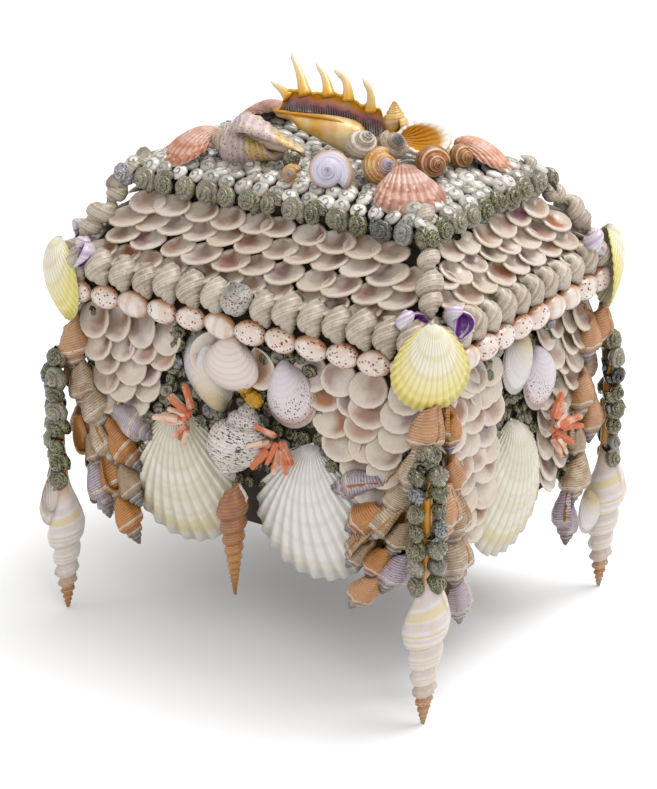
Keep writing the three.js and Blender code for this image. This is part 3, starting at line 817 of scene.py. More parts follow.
@dataclass(frozen=True)
class Finish:
    """What every finish has: a name, the record's slot, and a material that is built once."""

    name: str
    slot: str

    def material(self) -> bpy.types.Material:
        """The finish's material, made at its first use."""
        return bpy.data.materials.get(self.name) or self.paint()

    def paint(self) -> bpy.types.Material:
        """Builds the material."""
        raise NotImplementedError


@dataclass(frozen=True)
class Specks:
    """Scattered specks."""

    scale: float
    amount: float
    shade: str
    stretch: tuple[float, float] = (0.0, 0.0)
    low: float = 0.0
    high: float = 1.0


@dataclass(frozen=True)
class CoilFinish(Finish):
    """The paint of a snail-like shell."""

    base: str = "e0d8cc"
    other: str = "c8bcae"
    mouth: str = "efe4d8"
    tip: Optional[str] = None
    tip_turns: tuple[float, float] = (1.5, 3.5)
    foot: Optional[str] = None
    foot_from: float = 0.75
    bands: tuple[tuple[float, float, str], ...] = ()
    lines: float = 0.0
    line_shade: str = "8a7a66"
    line_share: float = 0.4
    flames: float = 0.0
    flame_shade: str = "9a6a40"
    flame_share: float = 0.5
    specks: tuple[Specks, ...] = ()
    variants: tuple[tuple[float, str, float], ...] = ()
    roughness: float = 0.35
    coat: float = 0.25
    relief: float = 0.00025

    def paint(self) -> bpy.types.Material:
        """Builds the material.

        Returns:
            The material.
        """
        painter = Painter(self.name)
        turns, section, inside = painter.split(painter.vector(PLACE))
        tint, shift, _ = painter.split(painter.vector(TINT))
        patches = painter.noise(140, 4)
        colour = painter.mix(patches.step(0.35, 0.68), self.base, self.other)
        for start, shade, share in self.variants:
            colour = painter.mix(tint.step(start, start + 0.02) * share, colour, shade)
        if self.tip:
            colour = painter.mix(turns.step(*self.tip_turns), colour, self.tip)
        if self.foot:
            colour = painter.mix(section.step(self.foot_from - 0.12, self.foot_from + 0.12) * turns.step(1.2, 0.6), colour, self.foot)
        for centre, width, shade in self.bands:
            colour = painter.mix(section.band(centre, width) * 0.85, colour, shade)
        wobble = painter.noise(60, 2)
        height = patches
        if self.flames:
            streaks = (turns * self.flames + wobble * 1.6).wave(1.0) * painter.noise(90, 2).step(0.4, 0.6)
            colour = painter.mix(streaks * self.flame_share, colour, self.flame_shade)
        if self.lines:
            threads = (section + wobble * 0.01).wave(self.lines)
            colour = painter.mix(threads.step(0.55, 0.95) * self.line_share, colour, self.line_shade)
            height = height * 0.6 + threads
        for kind in self.specks:
            spot_place = None
            if kind.stretch[0]:
                spot_place = painter.join(turns * kind.stretch[0], section * kind.stretch[1], tint * 7.0)
            spots = painter.cells(kind.scale, spot_place).step(kind.amount, kind.amount * 0.6)
            window = section.step(kind.low - 0.08, kind.low + 0.02) * section.step(kind.high + 0.08, kind.high - 0.02)
            colour = painter.mix(spots * window, colour, kind.shade)
        fine = painter.noise(1500, 2)
        colour = painter.mix(fine.step(0.55, 0.8) * 0.18, colour, "3a2f26")
        colour = painter.mix(shift.step(0.3, 1.0) * 0.16, colour, "fff6ea")
        colour = painter.mix(inside.step(0.3, 0.8), colour, self.mouth)
        rough = patches * 0.18 + (self.roughness - 0.08)
        return painter.finish(colour, rough, self.coat, height, self.relief)


@dataclass(frozen=True)
class ValveFinish(Finish):
    """The paint of a two-sided shell."""

    hinge: str = "f4efe4"
    margin: str = "efe6d2"
    edge: str = "f7f0e2"
    inner: str = "f1e8de"
    hollow_from: float = 0.2
    stains: tuple[str, ...] = ()
    ribs: float = 0.0
    # The next colour is painted shade that darkens the valleys between the ribs. It is also the colour of the
    # growth-ring lines. The share after it sets how strong the painted shade is.
    groove: str = "cfc4ae"
    groove_share: float = 0.5
    rings: float = 0.0
    bands: tuple[tuple[float, float, str, float], ...] = ()
    specks: tuple[Specks, ...] = ()
    variants: tuple[tuple[float, str, float], ...] = ()
    roughness: float = 0.4
    coat: float = 0.15
    relief: float = 0.0003

    def paint(self) -> bpy.types.Material:
        """Builds the material.

        Returns:
            The material.
        """
        painter = Painter(self.name)
        fan, growth, inside = painter.split(painter.vector(PLACE))
        tint, shift, glow = painter.split(painter.vector(TINT))
        patches = painter.noise(90, 4)
        colour = painter.mix(growth.step(0.15, 0.95), self.hinge, self.margin)
        for start, shade, share in self.variants:
            colour = painter.mix(tint.step(start, start + 0.02) * share, colour, shade)
        for centre, width, shade, share in self.bands:
            ring = (growth + patches * 0.05 - 0.025).band(centre, width)
            colour = painter.mix(ring * share, colour, shade)
        height = patches
        if self.ribs:
            crest = fan.wave(self.ribs)
            # Painted shade: darkens the valleys between the ribs.
            colour = painter.mix(crest.step(0.5, 0.05) * self.groove_share, colour, self.groove)
            height = height * 0.5 + crest * 0.5
        if self.rings:
            rings = (growth + patches * 0.012).wave(self.rings)
            # Growth-ring lines, drawn in the same colour as the painted valley shade.
            colour = painter.mix(rings.step(0.6, 1.0) * 0.22, colour, self.groove)
            height = height + rings * 0.5
        for kind in self.specks:
            spot_place = painter.join(fan * kind.stretch[0], growth * kind.stretch[1], tint * 7.0) if kind.stretch[0] else None
            spots = painter.cells(kind.scale, spot_place).step(kind.amount, kind.amount * 0.6)
            window = growth.step(kind.low - 0.1, kind.low + 0.05) * growth.step(kind.high + 0.1, kind.high - 0.05)
            colour = painter.mix(spots * window, colour, kind.shade)
        hollow = self.hollow(painter, fan, growth, tint, shift, glow)
        colour = painter.mix(inside.step(0.4, 0.6), colour, hollow)
        rim = growth.step(0.93, 0.99) * (fan * 90.0 + patches * 3).wave(1.0).step(-0.6, 0.8)
        colour = painter.mix(rim * 0.7, colour, self.edge)
        fine = painter.noise(1100, 2)
        colour = painter.mix(fine.step(0.58, 0.8) * 0.12, colour, "6b5a48")
        rough = patches * 0.2 + (self.roughness - 0.1)
        return painter.finish(colour, rough, self.coat, height, self.relief)

    def hollow(self, painter: Painter, fan: Wire, growth: Wire, tint: Wire, shift: Wire, glow: Wire) -> Any:
        """The colour of the inside.

        Args:
            painter: the material's painter.
            fan: place across the shell.
            growth: place from hinge to edge.
            tint: which stain the shell has.
            shift: where the stain lies.
            glow: how strong it is.

        Returns:
            The colour.
        """
        if not self.stains:
            return painter.mix(growth.step(self.hollow_from, 0.97), self.inner, self.edge)
        count = len(self.stains)
        stain = painter.mix(0.0, self.stains[0], self.stains[0])
        for number, shade in enumerate(self.stains[1:], start=1):
            stain = painter.mix(tint.step(number / count - 0.08, number / count + 0.08), stain, shade)
        clouds = painter.noise(75, 2)
        lean = (fan * 2.2 + shift * 2.4 - 1.2).size()
        core = growth.step(1.0, 0.78) * (lean * 0.55 + clouds - 0.3).step(0.85, 0.25)
        pearl = painter.mix(painter.noise(38, 1).step(0.4, 0.66) * 0.5, self.inner, "eee5e0")
        rays = (fan * 26.0 + clouds * 2).wave(1.0)
        colour = painter.mix(core * (glow * 0.5 + 0.5), pearl, stain)
        return painter.mix(rays * 0.08, colour, "fff4e8")


@dataclass(frozen=True)
class CowrieFinish(Finish):
    """Cream cowries with maroon dots and a tan border; some are plain with bands."""

    def paint(self) -> bpy.types.Material:
        """Builds the material.

        Returns:
            The material.
        """
        painter = Painter(self.name)
        along, out, up = painter.split(painter.vector(PLACE))
        tint, shift, _ = painter.split(painter.vector(TINT))
        clouds = painter.noise(110, 3)
        colour = painter.mix(clouds.step(0.3, 0.7), "f2e9e2", "e6d3c6")
        plain = tint.step(0.72, 0.74)
        border = (out + up.size() * 0.45 + clouds * 0.3).step(-0.3, 0.35)
        colour = painter.mix(border * 0.85, colour, "c28a5c")
        seeds = painter.join(along * 2.6 + shift * 9.0, out * 2.2, up * 2.2 + tint * 5.0)
        dots = painter.cells(1.5, seeds).step(0.33, 0.22)
        colour = painter.mix(dots * (1 - plain), colour, "8c4c3a")
        stripes = along.wave(1.4).step(0.55, 0.9)
        colour = painter.mix(stripes * plain * 0.35, colour, "c9a27c")
        return painter.finish(colour, clouds * 0.12 + 0.14, 0.5, clouds, 0.0001)


@dataclass(frozen=True)
class ButtonFinish(Finish):
    """Cream-grey button shells with a dark spiral round the apex."""

    base: str = "b9b2a6"
    pale: str = "efe9df"
    spiral: str = "4f5660"
    turns: float = 1.6

    def paint(self) -> bpy.types.Material:
        """Builds the material.

        Returns:
            The material.
        """
        painter = Painter(self.name)
        x, y, _ = painter.split(painter.vector(PLACE))
        tint, shift, _ = painter.split(painter.vector(TINT))
        radius = (x * x + y * y) ** 0.5
        angle = painter.out("ShaderNodeMath", {"operation": "ARCTAN2"}, {0: y, 1: x}) * (1 / FULL_TURN)
        coil = (angle + radius * self.turns + shift).wave(1.0)
        colour = painter.mix(tint.step(0.2, 0.8), self.base, self.pale)
        colour = painter.mix(painter.noise(300, 3).step(0.45, 0.7) * 0.4, colour, "8d8a88")
        colour = painter.mix(coil.step(0.55, 0.95) * radius.step(0.95, 0.3) * 0.85, colour, self.spiral)
        return painter.finish(colour, radius * 0.1 + 0.16, 0.6, coil, 0.0003)


@dataclass(frozen=True)
class LipFinish(Finish):
    """The conch's lip: near black in the mouth, then purple, then yellow-orange, and cream on the spines."""

    stops: tuple[tuple[float, str], ...] = ((0.0, "e0a350"), (0.07, "a86a4c"), (0.13, "1a0d11"), (0.35, "24101a"),
                                            (0.41, "7c5168"), (0.49, "cf9890"), (0.55, "e6a548"), (0.67, "efc67c"),
                                            (0.85, "f3dcb2"), (1.0, "f4ead6"))
    ridges: float = 46.0

    def paint(self) -> bpy.types.Material:
        """Builds the material.

        Returns:
            The material.
        """
        painter = Painter(self.name)
        up, along, _ = painter.split(painter.vector(PLACE))
        cloud = painter.noise(110, 3)
        level = (up + cloud * 0.12 - 0.06) * 0.66
        colour = painter.out("ShaderNodeValToRGB", {"stops": self.stops}, {0: level})
        ridge = (along + up * 0.05).wave(self.ridges).step(0.55, 0.9) * up.step(0.75, 0.35) * up.step(0.03, 0.1)
        colour = painter.mix(ridge * 0.8, colour, "e2c6b4")
        colour = painter.mix(cloud.step(0.5, 0.75) * 0.25, colour, "f6e6c4")
        return painter.finish(colour, cloud * 0.15 + 0.2, 0.4, ridge + cloud * 0.4, 0.0004)


@dataclass(frozen=True)
class PatchyFinish(Finish):
    """Two shades in patches with fine grain: coral, putty, wood and barnacle; the putty's dark brown is partly painted
    shade for the gaps between the shells.
    """

    base: str = "3a2f26"
    other: str = "241c16"
    patch: float = 120.0
    grain: float = 900.0
    roughness: float = 0.8
    coat: float = 0.0
    relief: float = 0.0006
    lines: tuple[float, float, float] = (0.0, 0.0, 0.0)

    def paint(self) -> bpy.types.Material:
        """Builds the material.

        Returns:
            The material.
        """
        painter = Painter(self.name)
        tint, _, _ = painter.split(painter.vector(TINT))
        place = painter.place()
        if any(self.lines):
            x, y, z = painter.split(place)
            place = painter.join(x * self.lines[0], y * self.lines[1], z * self.lines[2])
        patches = painter.noise(self.patch, 4, place)
        grain = painter.noise(self.grain, 3, place)
        colour = painter.mix((patches + tint * 0.5 - 0.25).step(0.3, 0.7), self.base, self.other)
        colour = painter.mix(grain.step(0.5, 0.75) * 0.3, colour, "1d1611" if self.relief > 0.0004 else "fff0e0")
        return painter.finish(colour, grain * 0.2 + (self.roughness - 0.1), self.coat, patches * 0.4 + grain, self.relief)


class Paints:
    """Every finish of the box."""

    # The carcass colour below is dark putty, which also serves as painted shade in the gaps between the shells.
    putty = PatchyFinish("putty_dark", "wood", base="3b3129", other="5a4c3d", patch=160.0)
    wood = PatchyFinish("stained_wood", "wood", base="4a3526", other="33241a", patch=26.0, grain=120.0,
                        lines=(1.0, 7.0, 7.0), roughness=0.6, relief=0.0003)
    # In the valve finishes below, the groove colours are painted shade in the rib valleys. They also colour the
    # growth-ring lines.
    scallop = ValveFinish("scallop_white", "scallop_shell", hinge="f3efe6", margin="f0e9da", edge="faf6ee",
                          ribs=12.0, groove="c9bfa8", groove_share=0.55, rings=9.0,
                          bands=((0.87, 0.07, "d8cc92", 0.55), (0.62, 0.05, "e4dcc0", 0.5), (0.3, 0.2, "cdbf9a", 0.3)),
                          roughness=0.42, coat=0.1)
    white_scallop = ValveFinish("scallop_whiter", "scallop_shell", hinge="efece8", margin="f6f3ee", edge="fdfbf7",
                                ribs=12.0, groove="cbc4ba", groove_share=0.5, rings=7.0,
                                bands=((0.9, 0.06, "ece3c4", 0.4),), roughness=0.42, coat=0.1)
    cockle = ValveFinish("cockle_yellow", "cockle_shell", hinge="fdfbf2", margin="f5eaa6", edge="faf2b8",
                         ribs=15.0, groove="d6bd58", groove_share=0.4, rings=5.0,
                         bands=((0.32, 0.36, "fbf8ea", 0.9), (0.92, 0.05, "ecd864", 0.4)), roughness=0.38, coat=0.15)
    fan = ValveFinish("cockle_terracotta", "fan_cockle_shell", hinge="e3bfae", margin="c88a70", edge="e9cfc0",
                      ribs=11.0, groove="9c5f4a", groove_share=0.5, rings=6.0,
                      bands=((0.5, 0.1, "efdccf", 0.6), (0.75, 0.06, "e6c4b0", 0.6)),
                      specks=(Specks(260.0, 0.42, "dbb3a2"),),
                      variants=((0.35, "c9a093", 0.6), (0.6, "dda184", 0.7), (0.8, "b48d84", 0.7)), roughness=0.45)
    tellin = ValveFinish("tellin_inside", "tellin_shell", hinge="e9dccb", margin="e6d8c6", edge="efe0cd",
                         inner="dbccba", stains=("7f4f58", "8c5a48", "a05c2c", "6b5350", "9c7160"), rings=8.0,
                         groove="cdb9a4", roughness=0.28, coat=0.35, relief=0.00012)
    clam = ValveFinish("clam_white", "clam_shell", hinge="d9c9a8", margin="efebec", edge="f6f2ee", inner="efe9e6",
                       ribs=24.0, groove="d6cdcb", groove_share=0.3, rings=12.0,
                       bands=((0.2, 0.22, "c7ad78", 0.6), (0.75, 0.08, "e2dae4", 0.5)), roughness=0.35)
    speckled_clam = ValveFinish("clam_speckled", "clam_shell", hinge="e8e2e8", margin="ece2e2", edge="f2e6de",
                                ribs=24.0, groove="cfc3c8", groove_share=0.35, rings=14.0,
                                bands=((0.93, 0.08, "d8b49c", 0.6),),
                                specks=(Specks(1.0, 0.34, "75403a", (22.0, 26.0), 0.62, 0.92),), roughness=0.35)
    ridged_clam = ValveFinish("clam_ridged", "clam_shell", hinge="e2d3c4", margin="ecdfd8", edge="f5ebe2",
                              rings=11.0, groove="bba696", bands=((0.5, 0.3, "f0e6e0", 0.6),), roughness=0.4)
    spindle = CoilFinish("spindle", "spindle_shell", base="ebe5ea", other="e4dcdc", mouth="f4e9e0",
                         tip="b06a34", tip_turns=(2.6, 4.8), foot="dc9638", foot_from=0.54,
                         bands=((0.14, 0.022, "e6d5a8"), (0.27, 0.02, "e2cf9f"), (0.38, 0.03, "e6d5a8")), lines=9.0, line_shade="cdb58c",
                         line_share=0.3, flames=1.0, flame_shade="e2d3b4", flame_share=0.3, roughness=0.34)
    auger = CoilFinish("auger", "auger_shell", base="9a6048", other="b0764c", tip="d09a5c", tip_turns=(0.8, 4.5),
                       bands=((0.05, 0.07, "e4cfae"),), lines=11.0, line_shade="6d4a3a", line_share=0.55,
                       flames=5.0, flame_shade="c79a6c", flame_share=0.35, roughness=0.36)
    speckled_turban = CoilFinish("turban_speckled", "turban_shell", base="efe9e0", other="dcd4cc", mouth="efe8e0",
                                 lines=16.0, line_shade="a3948a", line_share=0.3,
                                 specks=(Specks(1.0, 0.36, "2b2320", (21.0, 26.0)),
                                         Specks(420.0, 0.3, "3b2d26")), roughness=0.5, coat=0.05, relief=0.0005)
    stromb = CoilFinish("stromb", "stromb_shell", base="dccbb2", other="b89c7c", mouth="c08a58", tip="8d8b98",
                        tip_turns=(0.9, 1.9), bands=((0.3, 0.05, "eee2cf"),), lines=17.0, line_shade="6b4630",
                        line_share=0.45, flames=5.0, flame_shade="9a6236", flame_share=0.4,
                        specks=(Specks(330.0, 0.22, "8a6a50"),),
                        variants=((0.3, "d0843c", 0.75), (0.55, "b3a288", 0.8), (0.75, "c6bdd0", 0.85),
                                  (0.9, "dd9640", 0.85)), roughness=0.32, coat=0.35, relief=0.0004)
    snail = CoilFinish("snail", "snail_shell", base="b9aa98", other="a69684", mouth="d8ccbc", tip="8c7a68",
                       tip_turns=(1.2, 3.0), bands=((0.12, 0.07, "ddd2c2"), (0.5, 0.05, "d8ccbc")), lines=5.0,
                       line_shade="e6dccc", line_share=0.5, flames=9.0, flame_shade="877560", flame_share=0.35,
                       specks=(Specks(650.0, 0.24, "6a5a4a"),), variants=((0.6, "c4b8aa", 0.5), (0.85, "9a8c80", 0.5)),
                       roughness=0.42)
    periwinkle = CoilFinish("periwinkle", "periwinkle_shell", base="86815c", other="5c583c", mouth="2c281b",
                            lines=3.0, line_shade="211f15", line_share=0.2,
                            specks=(Specks(760.0, 0.56, "12100a"), Specks(820.0, 0.28, "b3ad7c")),
                            variants=((0.84, "1d1f24", 0.97), (0.89, "8f9494", 0.9), (0.95, "a9a4b8", 0.9)),
                            roughness=0.24, coat=0.5, relief=0.0001)
    button = ButtonFinish("button", "button_shell")
    purple = CoilFinish("purple_mouth", "snail_shell", base="ece6ea", other="dcd2dc", mouth="6e3a86",
                        bands=((0.4, 0.12, "cdb6d6"),), lines=5.0, line_shade="b9a8bc", line_share=0.3, roughness=0.3)
    conch = CoilFinish("spider_conch_body", "spider_conch_shell", base="e8b257", other="f1d59c", mouth="2b141c",
                       bands=((0.55, 0.2, "f0d9a8"),), lines=5.0, line_shade="cf9448", line_share=0.25,
                       flames=1.3, flame_shade="d68e58", flame_share=0.35, roughness=0.28, coat=0.4)
    conch_lip = LipFinish("spider_conch_lip", "spider_conch_shell")
    knobbed = CoilFinish("knobbed_conch", "knobbed_conch_shell", base="e0d0bc", other="c9b2b6", mouth="efd6c0",
                         tip="e8d6b0", tip_turns=(1.2, 2.6), bands=((0.85, 0.2, "e9c67c"), (0.12, 0.1, "e6cf9c")),
                         lines=12.0, line_shade="9c7c70", line_share=0.3, flames=4.0, flame_shade="c6b4cc",
                         flame_share=0.4, specks=(Specks(420.0, 0.3, "8a6a5c"),), roughness=0.5, relief=0.0006)
    moon = CoilFinish("moon", "moon_shell", base="d9d4e6", other="e4e0ee", mouth="e6d6c0",
                      foot="cfa57c", foot_from=0.26, lines=9.0, line_shade="b9b2cc", line_share=0.3,
                      roughness=0.4, relief=0.0002)
    orange_turban = CoilFinish("orange_turban", "orange_turban_shell", base="c98f50", other="e0bd88", mouth="ead2ac",
                               tip="cfc6dc", tip_turns=(0.9, 2.0), lines=7.0, line_shade="a3683a", line_share=0.55,
                               specks=(Specks(520.0, 0.26, "f0ddb8"),), roughness=0.48, relief=0.0005)
    brown_turban = CoilFinish("brown_turban", "stromb_shell", base="a8693c", other="8c5230", mouth="d9b48a",
                              bands=((0.2, 0.06, "e0c296"), (0.5, 0.06, "d9b484")), lines=8.0, line_shade="6c3c22",
                              line_share=0.5, flames=8.0, flame_shade="d09a62", flame_share=0.5, roughness=0.38)
    yellow = CoilFinish("yellow_shell", "yellow_shell", base="e2a24a", other="ecd3a4", mouth="dd9a2e",
                        bands=((0.5, 0.12, "f2e2bc"), (0.15, 0.08, "c47e34")), lines=6.0, line_shade="b8742c",
                        line_share=0.4, flames=3.0, flame_shade="f4e6c8", flame_share=0.5, roughness=0.34, coat=0.35)
    pale_lip = ValveFinish("pale_lip", "yellow_shell", hinge="d9963a", margin="f0e2c8", edge="f7f0e2", inner="dd9a35",
                           hollow_from=0.8, bands=((0.6, 0.2, "e8bd72", 0.6),), roughness=0.3)
    cowrie = CowrieFinish("cowrie", "cowrie_shell")
    coral = PatchyFinish("coral", "clam_shell", base="d98464", other="f2d2be", patch=130.0, grain=1400.0,
                         roughness=0.6, relief=0.0003)
    barnacle = PatchyFinish("barnacle", "clam_shell", base="d0a24c", other="a3803e", patch=260.0, grain=800.0,
                            roughness=0.55, coat=0.1, relief=0.0008)


def mould(shape: Any) -> bpy.types.Mesh:
    """Builds a shell once and hands out the same mesh data after that."""
    if shape not in MOULDS:
        MOULDS[shape] = shape.build()
    return MOULDS[shape]


MOULDS: dict[Any, bpy.types.Mesh] = {}


def tints(seed: str) -> Callable[[], tuple[float, float, float]]:
    """Gives a source of shell tints that is the same in every run."""
    draw = random.Random(seed)
    return lambda: (draw.random(), draw.random(), draw.random())


# The box and the room round it


@dataclass
class Staging:
    """Camera, floor and studio light."""

    camera_at: tuple[float, float, float] = (0.9073, -1.3587, 0.8346)
    yaw: float = 33.91
    pitch: float = 22.53
    lens: float = 116.26
    floor_half: float = 8.0

    def build(self) -> None:
        """Sets the stage."""
        scene = bpy.context.scene
        camera = bpy.data.objects.new("camera", bpy.data.cameras.new("camera"))
        camera.data.lens = self.lens
        camera.data.sensor_width = 36.0
        camera.data.clip_start = 0.05
        camera.location = self.camera_at
        camera.rotation_euler = (math.radians(90 - self.pitch), 0.0, math.radians(self.yaw))
        scene.collection.objects.link(camera)
        scene.camera = camera
        floor_mesh = bmesh.new()
        bmesh.ops.create_grid(floor_mesh, x_segments=1, y_segments=1, size=self.floor_half)
        data = bpy.data.meshes.new("floor")
        floor_mesh.to_mesh(data)
        floor_mesh.free()
        floor = bpy.data.objects.new("floor", data)
        painter = Painter("floor_pale")
        data.materials.append(painter.finish((0.93, 0.93, 0.93, 1.0), 0.9))
        scene.collection.objects.link(floor)
        world = bpy.data.worlds.new("studio")
        world.use_nodes = True
        world.node_tree.nodes["Background"].inputs["Color"].default_value = (1.0, 1.0, 1.0, 1.0)
        world.node_tree.nodes["Background"].inputs["Strength"].default_value = 0.85
        scene.world = world
        scene.view_settings.view_transform = "Standard"
        self.light("overhead", (0.45, 0.55, 1.8), (0.0, 0.0, 0.2), 1.2, 30.0)
        self.light("key", (1.5, -1.4, 1.5), (0.0, 0.0, 0.22), 1.2, 13.0)
        self.light("fill", (-1.6, -1.5, 0.9), (0.0, 0.0, 0.22), 1.2, 5.0)

    def light(self, name: str, at: Sequence[float], to: Sequence[float], size: float, power: float) -> None:
        """Adds a square soft light.

        Args:
            name: its name.
            at: where it hangs, in metres.
            to: what it points at.
            size: its side in metres.
            power: its watts.
        """
        lamp = bpy.data.lights.new(name, "AREA")
        lamp.size = size
        lamp.energy = power
        holder = bpy.data.objects.new(name, lamp)
        holder.location = at
        holder.rotation_euler = (Vector(to) - Vector(at)).to_track_quat("-Z", "Y").to_euler()
        bpy.context.scene.collection.objects.link(holder)


@dataclass
class Carcass:
    """The wooden box and lid under the shells: CAD nodes that get a putty finish, whose dark brown is partly painted
    shade in the gaps between the shells.
    """

    nodes: tuple[str, ...] = ("box_carcass", "lid_carcass")

    def build(self) -> None:
        """Dresses the nodes."""
        for node in self.nodes:
            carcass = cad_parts[node]
            # Dark putty colour that also stands for the shade in the gaps between the shells.
            material = Paints.putty.material()
            if carcass.material_slots:
                for place in carcass.material_slots:
                    place.material = material
            else:
                carcass.data.materials.append(material)
            log.info("%s: dressed", node)


CORNERS = tuple((end, side, sign_x, sign_y) for end, sign_y in (("front", -1), ("back", 1))
                for side, sign_x in (("left", -1), ("right", 1)))


def diagonal(sign_x: int, sign_y: int) -> float:
    """Degrees that turn -Y towards a corner."""
    return math.degrees(math.atan2(sign_x, -sign_y))


@dataclass
class Legs:
    """Four spindle shells standing on their tips."""

    shape: Coil = Coil(length=189.0, radius=17.3, widest=0.452, growth=1.36, whorls=9.0, steps=18, upper=5, lower=12,
                       canal=0.2, waist=0.25, fall=1.8, tuck=0.1,
                       relief=Together((Cords(7, 0.012), Knobs(9, 0.34, 0.26, 0.1, 1.9, 3.1))))
    mouths: tuple[tuple[float, float, float], ...] = ((0.75, -0.65, 0.0), (-0.6, 0.8, 0.0), (0.3, 0.9, 0.0),
                                                      (-0.3, 0.9, 0.0))

    def build(self) -> None:
        """Makes the legs."""
        for (end, side, _, _), mouth in zip(CORNERS, self.mouths):
            node = f"leg_spindle_{end}_{side}"
            room = room_of(node)
            leg = Cluster()
            tip = (room.centre.x, room.centre.y, 0.0)
            leg.add(mould(self.shape), face(tip, (0, 0, -1), mouth, 0.99), (0.5, 0.4, 0.5))
            lowest = min(vert.co.z for vert in leg.mesh.verts)
            bmesh.ops.translate(leg.mesh, vec=(0, 0, -lowest), verts=leg.mesh.verts)
            leg.publish(f"spindle_{end}_{side}", Paints.spindle, [node])


@dataclass
class WallScallops:
    """Six big scallops on the walls."""

    shape: Valve = Valve(98.0, 98.0, 15.0, columns=128, rows=18, pinch=0.28, thickness=1.6,
                         relief=Together((FanRibs(12, 0.026, 1.2), GrowthRings(6, 0.004))))

    def build(self) -> None:
        """Makes the scallops."""
        for side in Side:
            for place in (("left", "right") if side.wide else ("middle",)):
                node = f"scallop_{side.word}_{place}"
                room = side.room(node)
                shell = Cluster()
                whiter = place == "right"
                shell.add(mould(self.shape), hang((room.centre.x, room.high.y - 1.8, room.high.z)),
                          (0.5, 0.4 if whiter else 0.8, 0.5))
                shell.publish(f"big_{node}", Paints.white_scallop if whiter else Paints.scallop, [node], side.value)


@dataclass(frozen=True)
class Stick:
    """A square stick of coral that narrows to its end, standing on the origin along +Z."""

    length: float = 19.0
    width: float = 5.0

    def build(self) -> bpy.types.Mesh:
        """Makes the stick.

        Returns:
            The mesh, in millimetres.
        """
        mesh, _ = new_shell()
        bmesh.ops.create_cube(mesh, size=1.0)
        bmesh.ops.bevel(mesh, geom=list(mesh.edges), offset=0.12, affect="EDGES", segments=1, profile=0.5, material=-1)
        bmesh.ops.bisect_plane(mesh, geom=list(mesh.verts) + list(mesh.edges) + list(mesh.faces), plane_co=(0, 0, 0),
                               plane_no=(0, 0, 1))
        for vert in mesh.verts:
            height = vert.co.z + 0.5
            narrow = 1 - 0.28 * height
            vert.co = Vector((vert.co.x * self.width * narrow + 0.8 * math.sin(height * 3), vert.co.y * self.width * narrow,
                              height * self.length))
        return kept(mesh, "stick")


@dataclass(frozen=True)
class Lump:
    """A rough round lump, like a worn barnacle."""

    radius: float = 9.0

    def build(self) -> bpy.types.Mesh:
        """Makes the lump.

        Returns:
            The mesh, in millimetres.
        """
        mesh, _ = new_shell()
        bmesh.ops.create_icosphere(mesh, subdivisions=4, radius=self.radius)
        for vert in mesh.verts:
            angle = math.atan2(vert.co.x, vert.co.z)
            ridge = 0.1 * math.cos(angle * 8) + 0.05 * math.sin(vert.co.y * 1.7) + 0.04 * math.sin(vert.co.x * 2.3)
            hollow = 0.35 * bell(Vector((vert.co.x, vert.co.z)).length, 0.0, self.radius * 0.4) if vert.co.y < 0 else 0.0
            vert.co *= 1 + ridge - hollow
        return kept(mesh, "lump")


